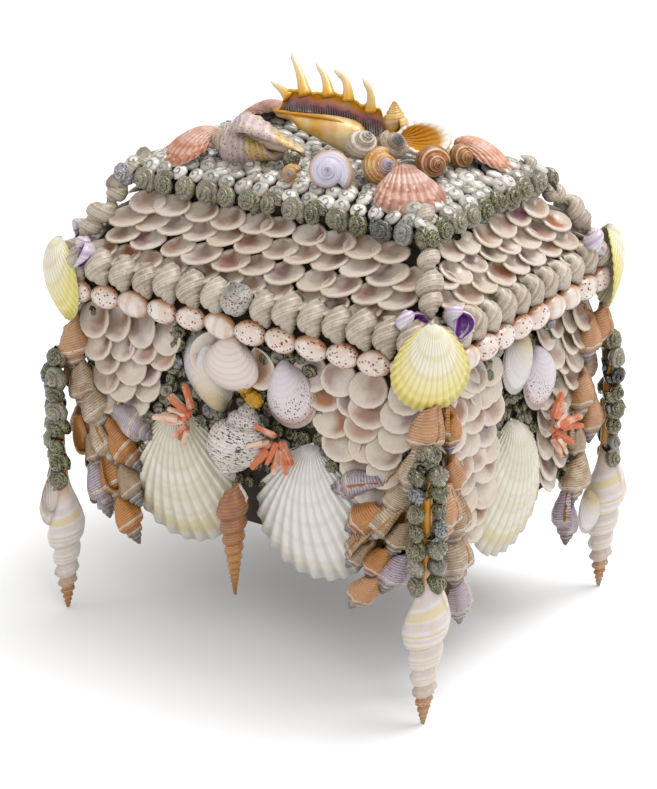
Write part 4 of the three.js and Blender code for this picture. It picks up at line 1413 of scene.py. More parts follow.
@dataclass
class FrontBunch:
    """Auger, speckled turban, clams and coral between the scallops of a wall."""

    auger: Coil = Coil(90.0, 11.5, 0.86, growth=1.2, whorls=14.0, steps=16, upper=5, lower=4, canal=0.35, waist=0.8,
                       tuck=0.3, relief=Together((Cords(6, 0.008), Swell(0.16))))
    turban: Coil = Coil(66.0, 27.5, 0.66, growth=1.85, whorls=5.0, steps=22, upper=8, lower=9, canal=0.3, waist=0.85,
                        fall=3.0, relief=Together((Cords(9, 0.011), Knobs(13, 0.02, 0.4, 0.15))))
    left_clam: Valve = Valve(46.0, 54.0, 14.0, columns=48, rows=12, pinch=0.3, relief=FanRibs(24, 0.004))
    right_clam: Valve = Valve(42.0, 44.0, 13.0, columns=48, rows=12, pinch=0.3, relief=FanRibs(24, 0.004))
    ridged: Valve = Valve(50.0, 37.0, 11.0, columns=44, rows=30, pinch=0.45, relief=GrowthRings(8, 0.022))
    saucer: Valve = Valve(30.0, 34.0, 6.0, columns=32, rows=6, pinch=0.3)
    stick: Stick = Stick()

    def build(self) -> None:
        """Makes the bunch of every wall: full on the front, plainer elsewhere."""
        self.build_front()
        self.build_coral(Side.FRONT, (-33.0, 173.0), -95.0, 12, "left")
        self.build_coral(Side.FRONT, (37.0, 176.0), -35.0, 12, "right")
        self.build_coral(Side.RIGHT, (31.0, 156.0), 75.0, 11, "middle")
        self.build_right()
        self.build_back()
        self.build_left()

    def one(self, name: str, shell: Any, finish: Finish, where: Matrix, side: Side, nodes: Sequence[str] = (),
            tint: Sequence[float] = (0.5, 0.5, 0.5)) -> None:
        """Publishes a single shell on a side."""
        cluster = Cluster()
        cluster.add(mould(shell), where, tint)
        cluster.publish(name, finish, nodes, side.value)

    def build_front(self) -> None:
        """Makes the shells in the middle of the front."""
        side = Side.FRONT
        auger = side.room("auger_front")
        turban = side.room("turban_front")
        clams = side.room("clams_front")
        self.one("long_auger_front", self.auger, Paints.auger,
                 stand((auger.centre.x, auger.centre.y, auger.low.z - 4.5), (0.02, 0, -1), 60), side, ["auger_front"])
        flat = Matrix.Diagonal((1, 0.66, 1, 1))
        turban_at = Matrix.Translation((turban.centre.x + 8, turban.centre.y + 0.5, turban.high.z + 1.5))
        lean = Matrix.Rotation(math.radians(12), 4, "Y")
        self.one("speckled_turban_front", self.turban, Paints.speckled_turban,
                 turban_at @ lean @ flat @ Matrix.Rotation(math.radians(150), 4, "Z"), side, ["turban_front"])
        wall = clams.high.y
        self.one("clam_front_left", self.left_clam, Paints.clam, hang((-15.0, wall - 3, 181.0), 4, 152), side,
                 ["clams_front"])
        self.one("clam_front_right", self.right_clam, Paints.speckled_clam, hang((36.0, wall - 4, 226.0), 8, -12), side,
                 ["clams_front"])
        self.one("clam_front_top", self.ridged, Paints.ridged_clam, hang((-4.0, wall - 5, clams.high.z + 0.5), 16, 2),
                 side, ["clams_front"])
        self.one("saucer_front_left", self.saucer, Paints.tellin,
                 hang((-16.0, wall - 6, 236.0), 14, 25, inside_out=True), side, tint=(0.1, 0.6, 0.8))
        self.one("saucer_front_right", self.saucer, Paints.tellin,
                 hang((11.0, wall - 6, 231.0), 12, -25, size=0.85, inside_out=True), side, tint=(0.5, 0.4, 0.3))
        self.one("barnacle_front", Lump(), Paints.barnacle,
                 Matrix.Translation((6.0, wall - 9, 208.0)) @ Matrix.Diagonal((0.8, 0.8, 1.25, 1)), side)
        self.one("barnacle_front_end", Lump(6.5), Paints.barnacle,
                 Matrix.Translation((14.0, wall - 11, 196.5)) @ Matrix.Diagonal((0.95, 0.8, 0.85, 1)), side,
                 tint=(0.0, 0.5, 0.5))

    def build_right(self) -> None:
        """Makes the clams at the top of the right wall."""
        side = Side.RIGHT
        wall = side.room("clams_right").high.y
        self.one("clam_right_upper", self.right_clam, Paints.speckled_clam, hang((20.0, wall - 4, 216.0), 8, -10), side,
                 ["clams_right"])
        self.one("clam_right_top", self.left_clam, Paints.clam, hang((2.0, wall - 2, 235.0), 8, 12, size=0.8), side,
                 ["clams_right"])
        self.one("clam_right_far", self.right_clam, Paints.clam, hang((100.0, wall - 6, 82.0), 6, -10, size=0.75), side)

    def build_back(self) -> None:
        """Makes a plainer bunch on the back."""
        side = Side.BACK
        wall = -room_of("box_carcass").high.y - 0.6
        self.one("clam_back_left", self.left_clam, Paints.clam, hang((-22.0, wall - 3, 232.0), 6, 14), side)
        self.one("clam_back_right", self.left_clam, Paints.clam, hang((22.0, wall - 3, 232.0), 6, -14), side,
                 tint=(0.2, 0.8, 0.5))
        self.one("clam_back_middle", self.ridged, Paints.ridged_clam, hang((0.0, wall - 9, 226.0), 12, 0), side)
        self.build_coral(side, (0.0, 176.0), 0.0, 9, "middle")

    def build_left(self) -> None:
        """Makes a plainer bunch on the left wall."""
        side = Side.LEFT
        wall = -room_of("box_carcass").high.x - 0.6
        self.one("clam_left_left", self.left_clam, Paints.clam, hang((-16.0, wall - 3, 232.0), 6, 14), side)
        self.one("clam_left_right", self.right_clam, Paints.speckled_clam, hang((18.0, wall - 3, 230.0), 6, -14), side)
        self.build_coral(side, (0.0, 180.0), 0.0, 9, "middle")

    def build_coral(self, side: Side, at: tuple[float, float], aim: float, count: int, place: str) -> None:
        """Makes a sprig of coral sticks.

        Args:
            side: the wall.
            at: the sprig's root, along and up.
            aim: degrees that its middle points in, from straight down.
            count: how many sticks.
            place: the last word of the piece's name.
        """
        draw = random.Random(f"coral {side.word} {place}")
        out = -(room_of("box_carcass", side.value).high.y) - 17.0
        sprig = Cluster()
        for number in range(count):
            angle = math.radians(aim + blend(-75, 75, (number + 0.5) / count) + draw.uniform(-9, 9))
            lean = draw.uniform(-0.1, 0.55)
            way = Vector((math.sin(angle), -lean, -math.cos(angle))).normalized()
            root = Vector((at[0], out + draw.uniform(-3, 2), at[1])) + way * draw.uniform(2.0, 11.0)
            sprig.add(mould(self.stick), stand(root, way, draw.uniform(0, 90), draw.uniform(0.6, 1.0)),
                      (draw.random(), draw.random(), 0.5))
        sprig.publish(f"coral_{side.word}_{place}", Paints.coral, (), side.value, smooth=False)


@dataclass
class TellinFields:
    """Saucer shells in overlapping rows, hollow side out, on the walls and on the lid."""

    wall_shape: Valve = Valve(29.5, 27.0, 3.8, columns=14, rows=3, pinch=0.16, thickness=1.5, smallest=0.16)
    lid_shape: Valve = Valve(30.0, 22.0, 4.2, columns=14, rows=3, pinch=0.1, thickness=1.7, smallest=0.16)
    wall_row: float = 13.6
    lid_row: float = 14.0
    wall_pitch: float = 18.5
    lid_pitch: float = 21.5

    def build(self) -> None:
        """Makes every field."""
        for side in Side:
            self.build_lid(side)
            for place, sign in (("left", -1), ("right", 1)):
                self.build_wall(side, place, sign)

    def build_wall(self, side: Side, place: str, sign: int) -> None:
        """Makes the field beside the scallops.

        Args:
            side: the wall.
            place: left or right.
            sign: -1 or 1 for the same.
        """
        node = f"wall_tellins_{side.word}_{place}"
        room = side.room(node)
        tint = tints(node)
        draw = random.Random(node)
        outer = max(abs(room.low.x), abs(room.high.x))
        inner = min(abs(room.low.x), abs(room.high.x))
        foot_outer = blend(outer, inner, 0.2 if side.wide else 0.45)
        rows = round((room.size.z - 8) / self.wall_row)
        field = Cluster()
        for row in range(rows):
            share = row / (rows - 1)
            far = blend(outer, foot_outer, share) - 9
            near = blend(inner, foot_outer - 24, share) + 8
            count = max(1, round((far - near) / self.wall_pitch) + 1)
            height = room.high.z - 1 - row * self.wall_row
            for number in range(count):
                along = blend(near, far, (number + (0.5 if count == 1 else 0)) / max(1, count - 1)) + draw.uniform(-2, 2)
                where = hang((sign * along, room.high.y - 1.5 - 0.4 * (number % 2), height + draw.uniform(-1.5, 1.5)),
                             draw.uniform(19, 25), draw.uniform(-20, 20) - sign * 8, sign * draw.uniform(6, 12),
                             draw.uniform(0.9, 1.08), inside_out=True)
                field.add(mould(self.wall_shape), where, tint())
        field.publish(f"tellins_{side.word}_{place}", Paints.tellin, [node], side.value)

    def build_lid(self, side: Side) -> None:
        """Makes the rows on one slope of the lid."""
        node = f"lid_tellins_{side.word}"
        lid = room_of("lid_carcass", side.value)
        rim_half, rim_out = lid.high.x, lid.high.y
        platform = room_of("platform_buttons", side.value)
        top_half, top_out = platform.high.x + 1, platform.high.y + 1
        foot, top = lid.low.z + 14, lid.high.z - 15
        slope = math.hypot(rim_out - top_out, top - foot)
        slant = math.degrees(math.atan2(rim_out - top_out, top - foot))
        tint = tints(node)
        draw = random.Random(node)
        hand = -1 if side in (Side.FRONT, Side.BACK) else 1
        rows = Cluster()
        for row in range(4):
            up = slope + 1.5 - row * self.lid_row
            share = up / slope
            half = blend(rim_half, top_half, share) - 4
            count = round(2 * half / self.lid_pitch)
            for number in range(count + row % 2):
                along = blend(-half, half, (number + 0.5 - 0.5 * (row % 2)) / count) + draw.uniform(-2, 2)
                along = max(-half + 2, min(half - 2, along))
                out = blend(rim_out, top_out, share) + 2.5
                height = blend(foot, top, share) + 2.0
                roll = hand * (draw.uniform(-2, 8) if row == 0 else draw.uniform(16, 30))
                where = hang((along, -out, height), slant + draw.uniform(20, 27), roll, hand * draw.uniform(4, 10),
                             draw.uniform(0.92, 1.08), inside_out=True)
                rows.add(mould(self.lid_shape), where, tint())
        rows.publish(f"tellins_lid_{side.word}", Paints.tellin, [node], side.value)


@dataclass
class StrombClusters:
    """Small conchs that hang beside the legs, spires down."""

    shape: Coil = Coil(48.0, 13.6, 0.54, growth=1.65, whorls=5.0, steps=14, upper=4, lower=7, canal=0.42, waist=0.8,
                       fall=2.4, tuck=0.15, relief=Together((Ribs(8, 0.1, 0.08, 0.45), Cords(4, 0.015))))
    wide: tuple[Hanging, ...] = (
        (69, 146, 72, 0.85), (82, 119, 50, 0.35), (83, 92, 36, 0.65), (86, 63, 32, 0.95), (112, 138, 34, 0.1),
        (118, 110, 22, 0.62), (110, 80, 26, 0.78), (138, 178, 8, 0.4), (130, 152, 12, 0.0), (98, 116, 40, 0.2),
        (98, 88, 30, 0.5))
    narrow: tuple[Hanging, ...] = (
        (92, 180, 2, 0.95), (84, 140, 4, 0.4), (82, 108, 2, 0.62), (77, 78, 4, 0.1), (71, 50, 8, 0.8), (100, 118, 0, 0.35))

    def build(self) -> None:
        """Makes a cluster at both ends of every wall."""
        for side in Side:
            for place, sign in (("left", -1), ("right", 1)):
                node = f"strombs_{side.word}_{place}"
                room = side.room(node)
                draw = random.Random(node)
                cluster = Cluster()
                for along, height, swing, tint in (self.wide if side.wide else self.narrow):
                    angle = math.radians(swing)
                    apex = (-sign * math.sin(angle), draw.uniform(-0.12, 0.02), -math.cos(angle))
                    at = (sign * along, room.low.y + 8.5 + draw.uniform(-1.0, 1.5), height)
                    cluster.add(mould(self.shape), stand(at, apex, draw.uniform(0, 360), draw.uniform(0.9, 1.0)),
                                (tint, draw.random(), draw.random()))
                cluster.publish(f"conchs_{side.word}_{place}", Paints.stromb, [node], side.value)


PERIWINKLE = Coil(14.5, 8.3, 0.58, growth=1.55, whorls=2.8, steps=9, upper=3, lower=3, canal=0.4, waist=0.9,
                  fall=3.0, tuck=0.18)
BEAD = Coil(14.5, 8.3, 0.58, growth=1.55, whorls=1.5, steps=7, upper=2, lower=2, canal=0.4, waist=0.9, fall=3.0,
            tuck=0.18)


@dataclass
class PeriwinkleStrings:
    """Strings of small periwinkles between the fields and beside the legs."""

    pitch: float = 11.0
    size: float = 0.8
    corner_pitch: float = 12.6
    corner_size: float = 1.12
    bed_half: float = 74.0
    bed_low: float = 132.0
    wide: tuple[tuple[tuple[float, float], ...], ...] = (
        ((-56, 202), (-63, 184)), ((-52, 228), (-53, 206)), ((18, 224), (46, 232)), ((52, 222), (55, 206)),
        ((60, 194), (66, 170), (74, 150)), ((-80, 160), (-84, 140)))
    narrow: tuple[tuple[tuple[float, float], ...], ...] = (
        ((44, 226), (46, 200), (62, 160), (72, 130), (76, 100)), ((-38, 226), (-34, 196), (-30, 170)),
        ((-2, 232), (-26, 230)))

    def build(self) -> None:
        """Makes the strings of every wall and leg."""
        for side in Side:
            strings = Cluster()
            draw = random.Random(f"strings {side.word}")
            wall = -(room_of("box_carcass", side.value).high.y) - 7.0
            for line in (self.wide if side.wide else self.narrow):
                for along, height in self.points(line):
                    self.bead(strings, draw, (along, wall, height), (0.0, -1.0, 0.2), self.size)
            self.build_bed(strings, draw, side, wall)
            strings.publish(f"periwinkles_{side.word}", Paints.periwinkle, (), side.value)
        for end, place, sign_x, sign_y in CORNERS:
            self.build_corner(end, place, sign_x, sign_y)

    def points(self, line: Sequence[tuple[float, float]]) -> list[tuple[float, float]]:
        """Spaces beads evenly along a bent line."""
        spots = []
        for (x0, z0), (x1, z1) in zip(line, line[1:]):
            count = max(1, round(math.hypot(x1 - x0, z1 - z0) / self.pitch))
            spots += [(blend(x0, x1, i / count), blend(z0, z1, i / count)) for i in range(count)]
        return spots + [line[-1]]

    def build_bed(self, cluster: Cluster, draw: random.Random, side: Side, wall: float) -> None:
        """Fills the wall behind the large shells."""
        half = self.bed_half if side.wide else self.bed_half * 0.85
        top = room_of("box_carcass").high.z - 8
        rows = round((top - self.bed_low) / self.pitch)
        columns = round(2 * half / self.pitch)
        for row in range(rows + 1):
            for column in range(columns + 1):
                along = blend(-half, half, (column + 0.5 * (row % 2)) / columns) + draw.uniform(-1.5, 1.5)
                height = blend(top, self.bed_low, row / rows) + draw.uniform(-1.5, 1.5)
                clear = 50 + 0.46 * (top - height) if side.wide else 25 + 0.12 * (top - height)
                if abs(along) > clear:
                    continue
                self.bead(cluster, draw, (along, wall + 5, height), (0.0, -1.0, 0.1), self.size)
        self.build_strips(cluster, draw, side, wall)

    def build_strips(self, cluster: Cluster, draw: random.Random, side: Side, wall: float) -> None:
        """Fills the wall outside the fields of saucer shells, behind the hanging conchs."""
        carcass = room_of("box_carcass", side.value)
        field = side.room(f"wall_tellins_{side.word}_right")
        narrowing = 0.2 if side.wide else 0.27
        height = carcass.high.z - 10
        while height > carcass.low.z + 4:
            along = field.high.x + 2 - narrowing * (field.high.z - height)
            if height < field.low.z + 8:
                along = field.low.x + 40
            while along < carcass.high.x - 3:
                for sign in (-1, 1):
                    spot = (sign * along + draw.uniform(-1, 1), wall + 5, height + draw.uniform(-1.5, 1.5))
                    self.bead(cluster, draw, spot, (0.0, -1.0, 0.1), self.size)
                along += self.pitch
            height -= self.pitch

    def bead(self, cluster: Cluster, draw: random.Random, at: Sequence[float], way: Sequence[float],
             size: float, shape: Coil = BEAD) -> None:
        """Adds one periwinkle."""
        way = Vector(way) + Vector((draw.uniform(-0.5, 0.5), draw.uniform(-0.3, 0.3), draw.uniform(-0.4, 0.4)))
        size *= draw.uniform(0.9, 1.12)
        at = Vector(at) + way.normalized() * 6 * size
        cluster.add(mould(shape), stand(at, way, draw.uniform(0, 360), size), (draw.random(), draw.random(), 0.5))

    def build_corner(self, end: str, place: str, sign_x: int, sign_y: int) -> None:
        """Makes the two strings down the canal of a leg."""
        leg = room_of(f"leg_spindle_{end}_{place}").centre
        draw = random.Random(f"corner {end} {place}")
        strings = Cluster()
        for turn in (-62, 62):
            angle = math.radians(diagonal(sign_x, sign_y) + turn)
            way = Vector((math.sin(angle), -math.cos(angle), 0.0))
            for number in range(8):
                height = 192 - number * self.corner_pitch
                reach = 9.5 if number > 0 else 4.0
                spot = (leg.x + way.x * reach, leg.y + way.y * reach, height)
                self.bead(strings, draw, spot, way, self.corner_size, PERIWINKLE)
        strings.publish(f"periwinkles_{end}_{place}", Paints.periwinkle)


@dataclass
class RimRows:
    """Cowries along the rim of the lid and snails above them."""

    cowrie: Dome = Dome(25.0, 18.0, 15.5)
    snail: Coil = Coil(27.0, 12.0, 0.62, growth=1.75, whorls=4.0, steps=13, upper=4, lower=4, canal=0.45, waist=0.95,
                       fall=4.0, tuck=0.2, relief=Cords(4, 0.015))
    knobby: Coil = Coil(26.0, 13.0, 0.58, growth=1.6, whorls=4.0, steps=14, upper=4, lower=5, canal=0.4, waist=0.95,
                        fall=4.0, relief=Together((Cords(5, 0.03), Ribs(12, 0.04, 0.0, 0.8))))

    def build(self) -> None:
        """Makes both rows of every side."""
        for side in Side:
            self.build_cowries(side)
            self.build_snails(side)

    def build_cowries(self, side: Side) -> None:
        """Makes the cowries."""
        node = f"cowries_{side.word}"
        room = side.room(node)
        tint = tints(node)
        draw = random.Random(node)
        row = Cluster()
        count = round(room.size.x / 23.0)
        for number in range(count):
            along = blend(room.low.x, room.high.x, (number + 0.5) / count)
            turned = (Matrix.Rotation(math.radians(draw.uniform(-10, 10)), 4, "Y")
                      @ Matrix.Rotation(math.radians(draw.uniform(-14, 14)), 4, "X"))
            size = Matrix.Scale(draw.uniform(0.94, 1.04), 4)
            row.add(mould(self.cowrie), Matrix.Translation((along, room.centre.y, room.centre.z)) @ turned @ size, tint())
        row.publish(f"row_of_{node}", Paints.cowrie, [node], side.value)

    def build_snails(self, side: Side) -> None:
        """Makes the snails."""
        node = f"snails_{side.word}"
        room = side.room(node)
        tint = tints(node)
        draw = random.Random(node)
        row = Cluster()
        count = round(room.size.x / 18.6)
        middle = count // 2
        for number in range(count):
            if side.wide and number == middle:
                continue
            along = blend(room.low.x, room.high.x, (number + 0.5) / count)
            apex = Vector((0.5 + draw.uniform(-0.12, 0.12), -0.3, -0.8 + draw.uniform(-0.1, 0.1))).normalized()
            at = Vector((along, room.centre.y - 0.5, room.centre.z - 3.5)) + apex * 14.5
            row.add(mould(self.snail), stand(at, apex, draw.uniform(-60, 60), draw.uniform(1.0, 1.1)), tint())
        row.publish(f"row_of_{node}", Paints.snail, [node], side.value)
        if side.wide:
            along = blend(room.low.x, room.high.x, (middle + 0.5) / count)
            single = Cluster()
            single.add(mould(self.knobby), face((along - 1, room.centre.y - 6, room.high.z + 3), (-0.15, -0.35, 1), (0, 1, 0)))
            single.publish(f"turban_rim_{side.word}", Paints.speckled_turban, (), side.value)


@dataclass
class Corners:
    """A yellow cockle, two purple-mouthed shells and hip snails on each corner of the lid."""

    cockle: Valve = Valve(54.0, 59.0, 13.5, columns=90, rows=14, pinch=0.28, thickness=1.3,
                          relief=FanRibs(15, 0.02, 1.1))
    sink: float = 5.0
    swings: tuple[float, ...] = (16.0, 0.0, 0.0, 0.0)
    purple: Coil = Coil(23.0, 13.0, 0.5, growth=2.8, whorls=2.6, steps=18, upper=6, lower=7, canal=0.35, waist=0.85,
                        fall=2.6, mouth=0.8, mouth_depth=40.0)
    purple_places: tuple[Hanging, ...] = ((-18, 1, 281, -10), (5, -24, 282, 10))
    hip_places: tuple[Hanging, ...] = ((-11, -16, 288, 0.95), (-19, -27, 302, 0.85), (-26, -37, 313, 0.75),
                                         (-31, -43, 322, 0.65), (-7, -11, 280, 0.8))

    def build(self) -> None:
        """Makes the shells of every corner."""
        rows = RimRows()
        lid = room_of("lid_carcass")
        for (end, place, sign_x, sign_y), swing_out in zip(CORNERS, self.swings):
            node = f"cockle_{end}_{place}"
            turn = diagonal(sign_x, sign_y)
            room = room_of(node)
            hinge = (room.centre.x - sign_x * self.sink, room.centre.y - sign_y * self.sink, room.high.z)
            shell = Cluster()
            shell.add(mould(self.cockle), hang(hinge, 0, 0, turn + swing_out), (0.5, 0.5, 0.5))
            shell.publish(f"yellow_{node}", Paints.cockle, [node])
            pair = Cluster()
            for past_x, past_y, height, swing in self.purple_places:
                at = (sign_x * (lid.high.x + past_x), sign_y * (lid.high.y + past_y), height)
                pair.add(mould(self.purple), hang(at, 28, swing, turn + sign_x * sign_y * swing), (0.5, 0.5, 0.5))
            pair.publish(f"purple_shells_{end}_{place}", Paints.purple)
            snails = Cluster()
            draw = random.Random(f"hip {end} {place}")
            for past_x, past_y, height, size in self.hip_places:
                apex = Vector((sign_x * 0.45, sign_y * 0.45, -0.8)).normalized()
                at = Vector((sign_x * (lid.high.x + past_x), sign_y * (lid.high.y + past_y), height)) + apex * 10 * size
                snails.add(mould(rows.snail), stand(at, apex, draw.uniform(0, 360), size),
                           (draw.random(), draw.random(), 0.5))
            snails.publish(f"hip_snails_{end}_{place}", Paints.snail)


@dataclass(frozen=True)
class Button:
    """A button shell: a lens, thickest in the middle."""

    radius: float = 6.6
    height: float = 7.0
    columns: int = 10
    rows: int = 6

    def build(self) -> bpy.types.Mesh:
        """Makes the shell with its apex up at the origin.

        Returns:
            The mesh, in millimetres.
        """
        mesh, layer = new_shell()
        bmesh.ops.create_uvsphere(mesh, u_segments=self.columns, v_segments=self.rows, radius=1.0)
        for vert in mesh.verts:
            vert[layer] = vert.co.copy()
            vert.co = Vector((vert.co.x * self.radius, vert.co.y * self.radius, (vert.co.z - 1) * self.height / 2))
        return kept(mesh, "button")


@dataclass
class Platform:
    """Periwinkles round the platform's edge, button shells on it, and half cockles near its corners."""

    button: Button = Button()
    fan: Valve = Valve(52.0, 46.0, 10.5, columns=88, rows=14, pinch=0.45, thickness=1.2, relief=FanRibs(11, 0.035, 1.1))
    fan_tints: tuple[float, ...] = (0.1, 0.9, 0.45, 0.7)
    rows: int = 8

    def build(self) -> None:
        """Makes the three kinds."""
        self.build_periwinkles()
        self.build_buttons()
        for (end, place, sign_x, sign_y), tint in zip(CORNERS, self.fan_tints):
            node = f"platform_cockle_{end}_{place}"
            turn = diagonal(sign_x, sign_y)
            lid = room_of("lid_carcass")
            hinge = Vector((sign_x * 72.0, sign_y * 32.0, lid.high.z + 21))
            shell = Cluster()
            shell.add(mould(self.fan), hang(hinge, 66, 0, turn), (tint, 0.5, 0.5))
            shell.publish(f"terracotta_{node}", Paints.fan, [node])

    def build_periwinkles(self) -> None:
        """Makes the ring round the edge."""
        ring = Cluster()
        draw = random.Random("periwinkle ring")
        room = room_of("periwinkle_ring")
        for side in Side:
            own = room_of("periwinkle_ring", side.value)
            count = 14 if side.wide else 9
            half, out = own.high.x - 9.0, own.high.y - 9.5
            for number in range(count):
                along = blend(-half, half, number / count)
                way = Vector((draw.uniform(-0.3, 0.3), -1.0, draw.uniform(0.0, 0.45)))
                at = side.frame @ Vector((along, -out, room.centre.z + 1.5 + draw.uniform(-0.8, 0.8)))
                way = side.frame @ way.normalized()
                ring.add(mould(PERIWINKLE), stand(at + way * 10.0, way, draw.uniform(0, 360), draw.uniform(1.2, 1.3)),
                         (draw.random(), draw.random(), 0.5))
        ring.publish("ring_of_periwinkles", Paints.periwinkle, ["periwinkle_ring"])

    def build_buttons(self) -> None:
        """Makes rows of button shells round the top, and a few between the large shells."""
        cluster = Cluster()
        draw = random.Random("buttons")
        room = room_of("platform_buttons")
        floor = room.low.z + 2.0
        for row in range(self.rows):
            for side in Side:
                own = room_of("platform_buttons", side.value)
                half, out = own.high.x + 5 - row * 10, own.high.y + 5 - row * 10
                count = max(1, round(2 * half / 12.8))
                for number in range(count):
                    along = blend(-half, half, (number + 0.5 * (row % 2)) / count) + draw.uniform(-1.2, 1.2)
                    height = floor + (3.0 if row == 0 else 7.0)
                    at = side.frame @ Vector((along, -out + draw.uniform(-1, 1), height))
                    way = side.frame @ Vector((draw.uniform(-0.35, 0.35), draw.uniform(-0.3, 0.3) - (0.8 if row == 0 else 0.35), 1.0))
                    cluster.add(mould(self.button), stand(at, way, draw.uniform(0, 360), draw.uniform(0.85, 1.1)),
                                (draw.random(), draw.random(), 0.5))
        cluster.publish("rows_of_buttons", Paints.button, ["platform_buttons"])


@dataclass(frozen=True)
class Spine:
    """One hooked spine of the conch, at a place along the lip."""

    root: float
    length: float
    tilt: float
    bend: float
    back: float
    radius: float = 4.6
    sunk: float = 6.0
    steps: int = 14

    def build(self) -> bpy.types.Mesh:
        """Makes the spine: a ring extruded upwards while it narrows and bends to the left.

        Returns:
            The mesh, in millimetres.
        """
        mesh, layer = new_shell()
        bmesh.ops.create_circle(mesh, cap_ends=False, segments=12, radius=self.radius)
        reached = (Matrix.Translation((0, 0, -self.sunk)) @ Matrix.Rotation(-self.tilt, 4, "Y")
                   @ Matrix.Rotation(-self.back, 4, "X"))
        bmesh.ops.transform(mesh, matrix=reached, verts=mesh.verts)
        for vert in mesh.verts:
            vert[layer] = Vector((0.85, self.root * 0.01, 0.0))
        edges = list(mesh.edges)
        bmesh.ops.contextual_create(mesh, geom=edges)
        rise = (self.length + self.sunk) / self.steps
        narrow = 0.3 ** (1 / self.steps)
        for ring in range(1, self.steps + 1):
            turn = 2 * self.bend * ring / self.steps ** 2
            step = (Matrix.Translation((0.25 * math.sin(ring * 1.7), 0, rise)) @ Matrix.Rotation(-turn, 4, "Y")
                    @ Matrix.Diagonal((narrow, narrow, 1, 1)))
            place = Vector((0.85 + 0.65 * ring / self.steps, self.root * 0.01, 0.0))
            local = reached @ step @ reached.inverted()
            edges = sweep(mesh, edges, local, 1, lambda vert, _: vert.__setitem__(layer, place))
            reached = local @ reached
        bmesh.ops.contextual_create(mesh, geom=edges)
        bmesh.ops.recalc_face_normals(mesh, faces=mesh.faces)
        return kept(mesh, "conch_spine")


@dataclass
class SpiderConch:
    """The spider conch: a body on its side with a spined lip standing up behind its mouth."""

    body: Coil = Coil(84.0, 13.6, 0.42, growth=1.6, whorls=5.0, steps=24, upper=7, lower=10, canal=0.3, waist=0.75,
                      fall=2.2, tuck=0.1, mouth=0.8, mouth_depth=40.0, relief=Cords(8, 0.006))
    turn: float = 24.0
    apex: Vector = Vector((42.0, -7.0, -7.0))
    slope: float = 0.26
    lip_left: float = -40.0
    lip_right: float = 37.0
    lip_columns: int = 120
    lip_rows: int = 24
    spines: tuple[Spine, ...] = (Spine(-20, 24, 0.35, 0.5, 0.5, 5.2), Spine(-4, 20, 0.25, 1.2, 0.55, 4.9),
                                 Spine(9, 20, 0.05, 2.2, 0.35, 4.6), Spine(24, 18, -0.1, 1.7, 0.05, 4.4),
                                 Spine(-31, 10, 0.9, 0.7, 0.4, 4.6))

    def build(self) -> None:
        """Makes the conch's body and lip."""
        room = room_of("spider_conch")
        at = Matrix.Translation((-8.0, 10.0, room.low.z + 16.0)) @ Matrix.Rotation(math.radians(self.turn), 4, "Z")
        body = Cluster()
        body.add(mould(self.body), at @ face(self.apex, (1, 0, -self.slope), (0, 0.5, -1)), (0.2, 0.5, 0.5))
        body.publish("spider_conch_body", Paints.conch, ["spider_conch"])
        lip = Cluster()
        lip.add(self.lip(), at, (0.2, 0.5, 0.5))
        for spine in self.spines:
            lip.add(spine.build(), at @ Matrix.Translation((spine.root, 1.0, self.edge(spine.root))), (0.2, 0.5, 0.5))
        lip.publish("spider_conch_lip", Paints.conch_lip, ["spider_conch"])

    def edge(self, along: float) -> float:
        """The height of the lip's edge, which falls to both ends and rises into each spine."""
        height = (30.0 - 9.5 * soft_step(along, -2, 30) - 13.0 * (1 - soft_step(along, self.lip_left, -29))
                  - 17.0 * soft_step(along, 31, self.lip_right))
        return height + sum(2.5 * bell(along, spine.root, 4.0) for spine in self.spines) + 0.5 * math.sin(along * 0.9)

    def girth(self, along: float) -> tuple[float, float]:
        """The height of the body's axis and the body's radius at a place along it."""
        depth = self.apex.x - along
        middle = self.body.length * self.body.widest
        past = (depth - middle) / (self.body.length - middle)
        share = self.body.narrowing(past) if past > 0 else depth / middle
        return self.apex.z + depth * self.slope, self.body.radius * max(0.1, share)

    def lip(self) -> bpy.types.Mesh:
        """Makes the lip: a sheet from the body's top down into the mouth, then up and forward to its edge.

        Returns:
            The mesh, in millimetres.
        """
        mesh, layer = new_shell()
        bmesh.ops.create_grid(mesh, x_segments=self.lip_columns, y_segments=self.lip_rows, size=1.0)
        for vert in mesh.verts:
            share, up = (vert.co.x + 1) / 2, (vert.co.y + 1) / 2
            along = blend(self.lip_left, self.lip_right, share)
            axis, radius = self.girth(along)
            edge = self.edge(along)
            path = ((self.apex.y - radius * 0.35, axis + radius * 0.9), (self.apex.y + radius * 0.7, axis + radius * 0.75),
                    (0.5, axis - radius * 0.9), (9.0, blend(axis, edge, 0.55)), (4.0, edge - 1.0), (0.5, edge))
            out, height = self.bend(path, up)
            frill = 0.7 * math.sin(along * 0.8) * soft_step(up, 0.7, 1.0)
            vert[layer] = Vector((up, share, 0.0))
            vert.co = Vector((along, out - frill, height))
        bmesh.ops.solidify(mesh, geom=list(mesh.verts) + list(mesh.edges) + list(mesh.faces), thickness=2.0)
        bmesh.ops.recalc_face_normals(mesh, faces=mesh.faces)
        return kept(mesh, "conch_lip")

    def bend(self, path: Sequence[tuple[float, float]], share: float) -> tuple[float, float]:
        """A place on the smooth curve that a row of points pulls on, found by halving between neighbours."""
        points = [Vector(point) for point in path]
        while len(points) > 1:
            points = [first.lerp(second, share) for first, second in zip(points, points[1:])]
        return points[0].x, points[0].y


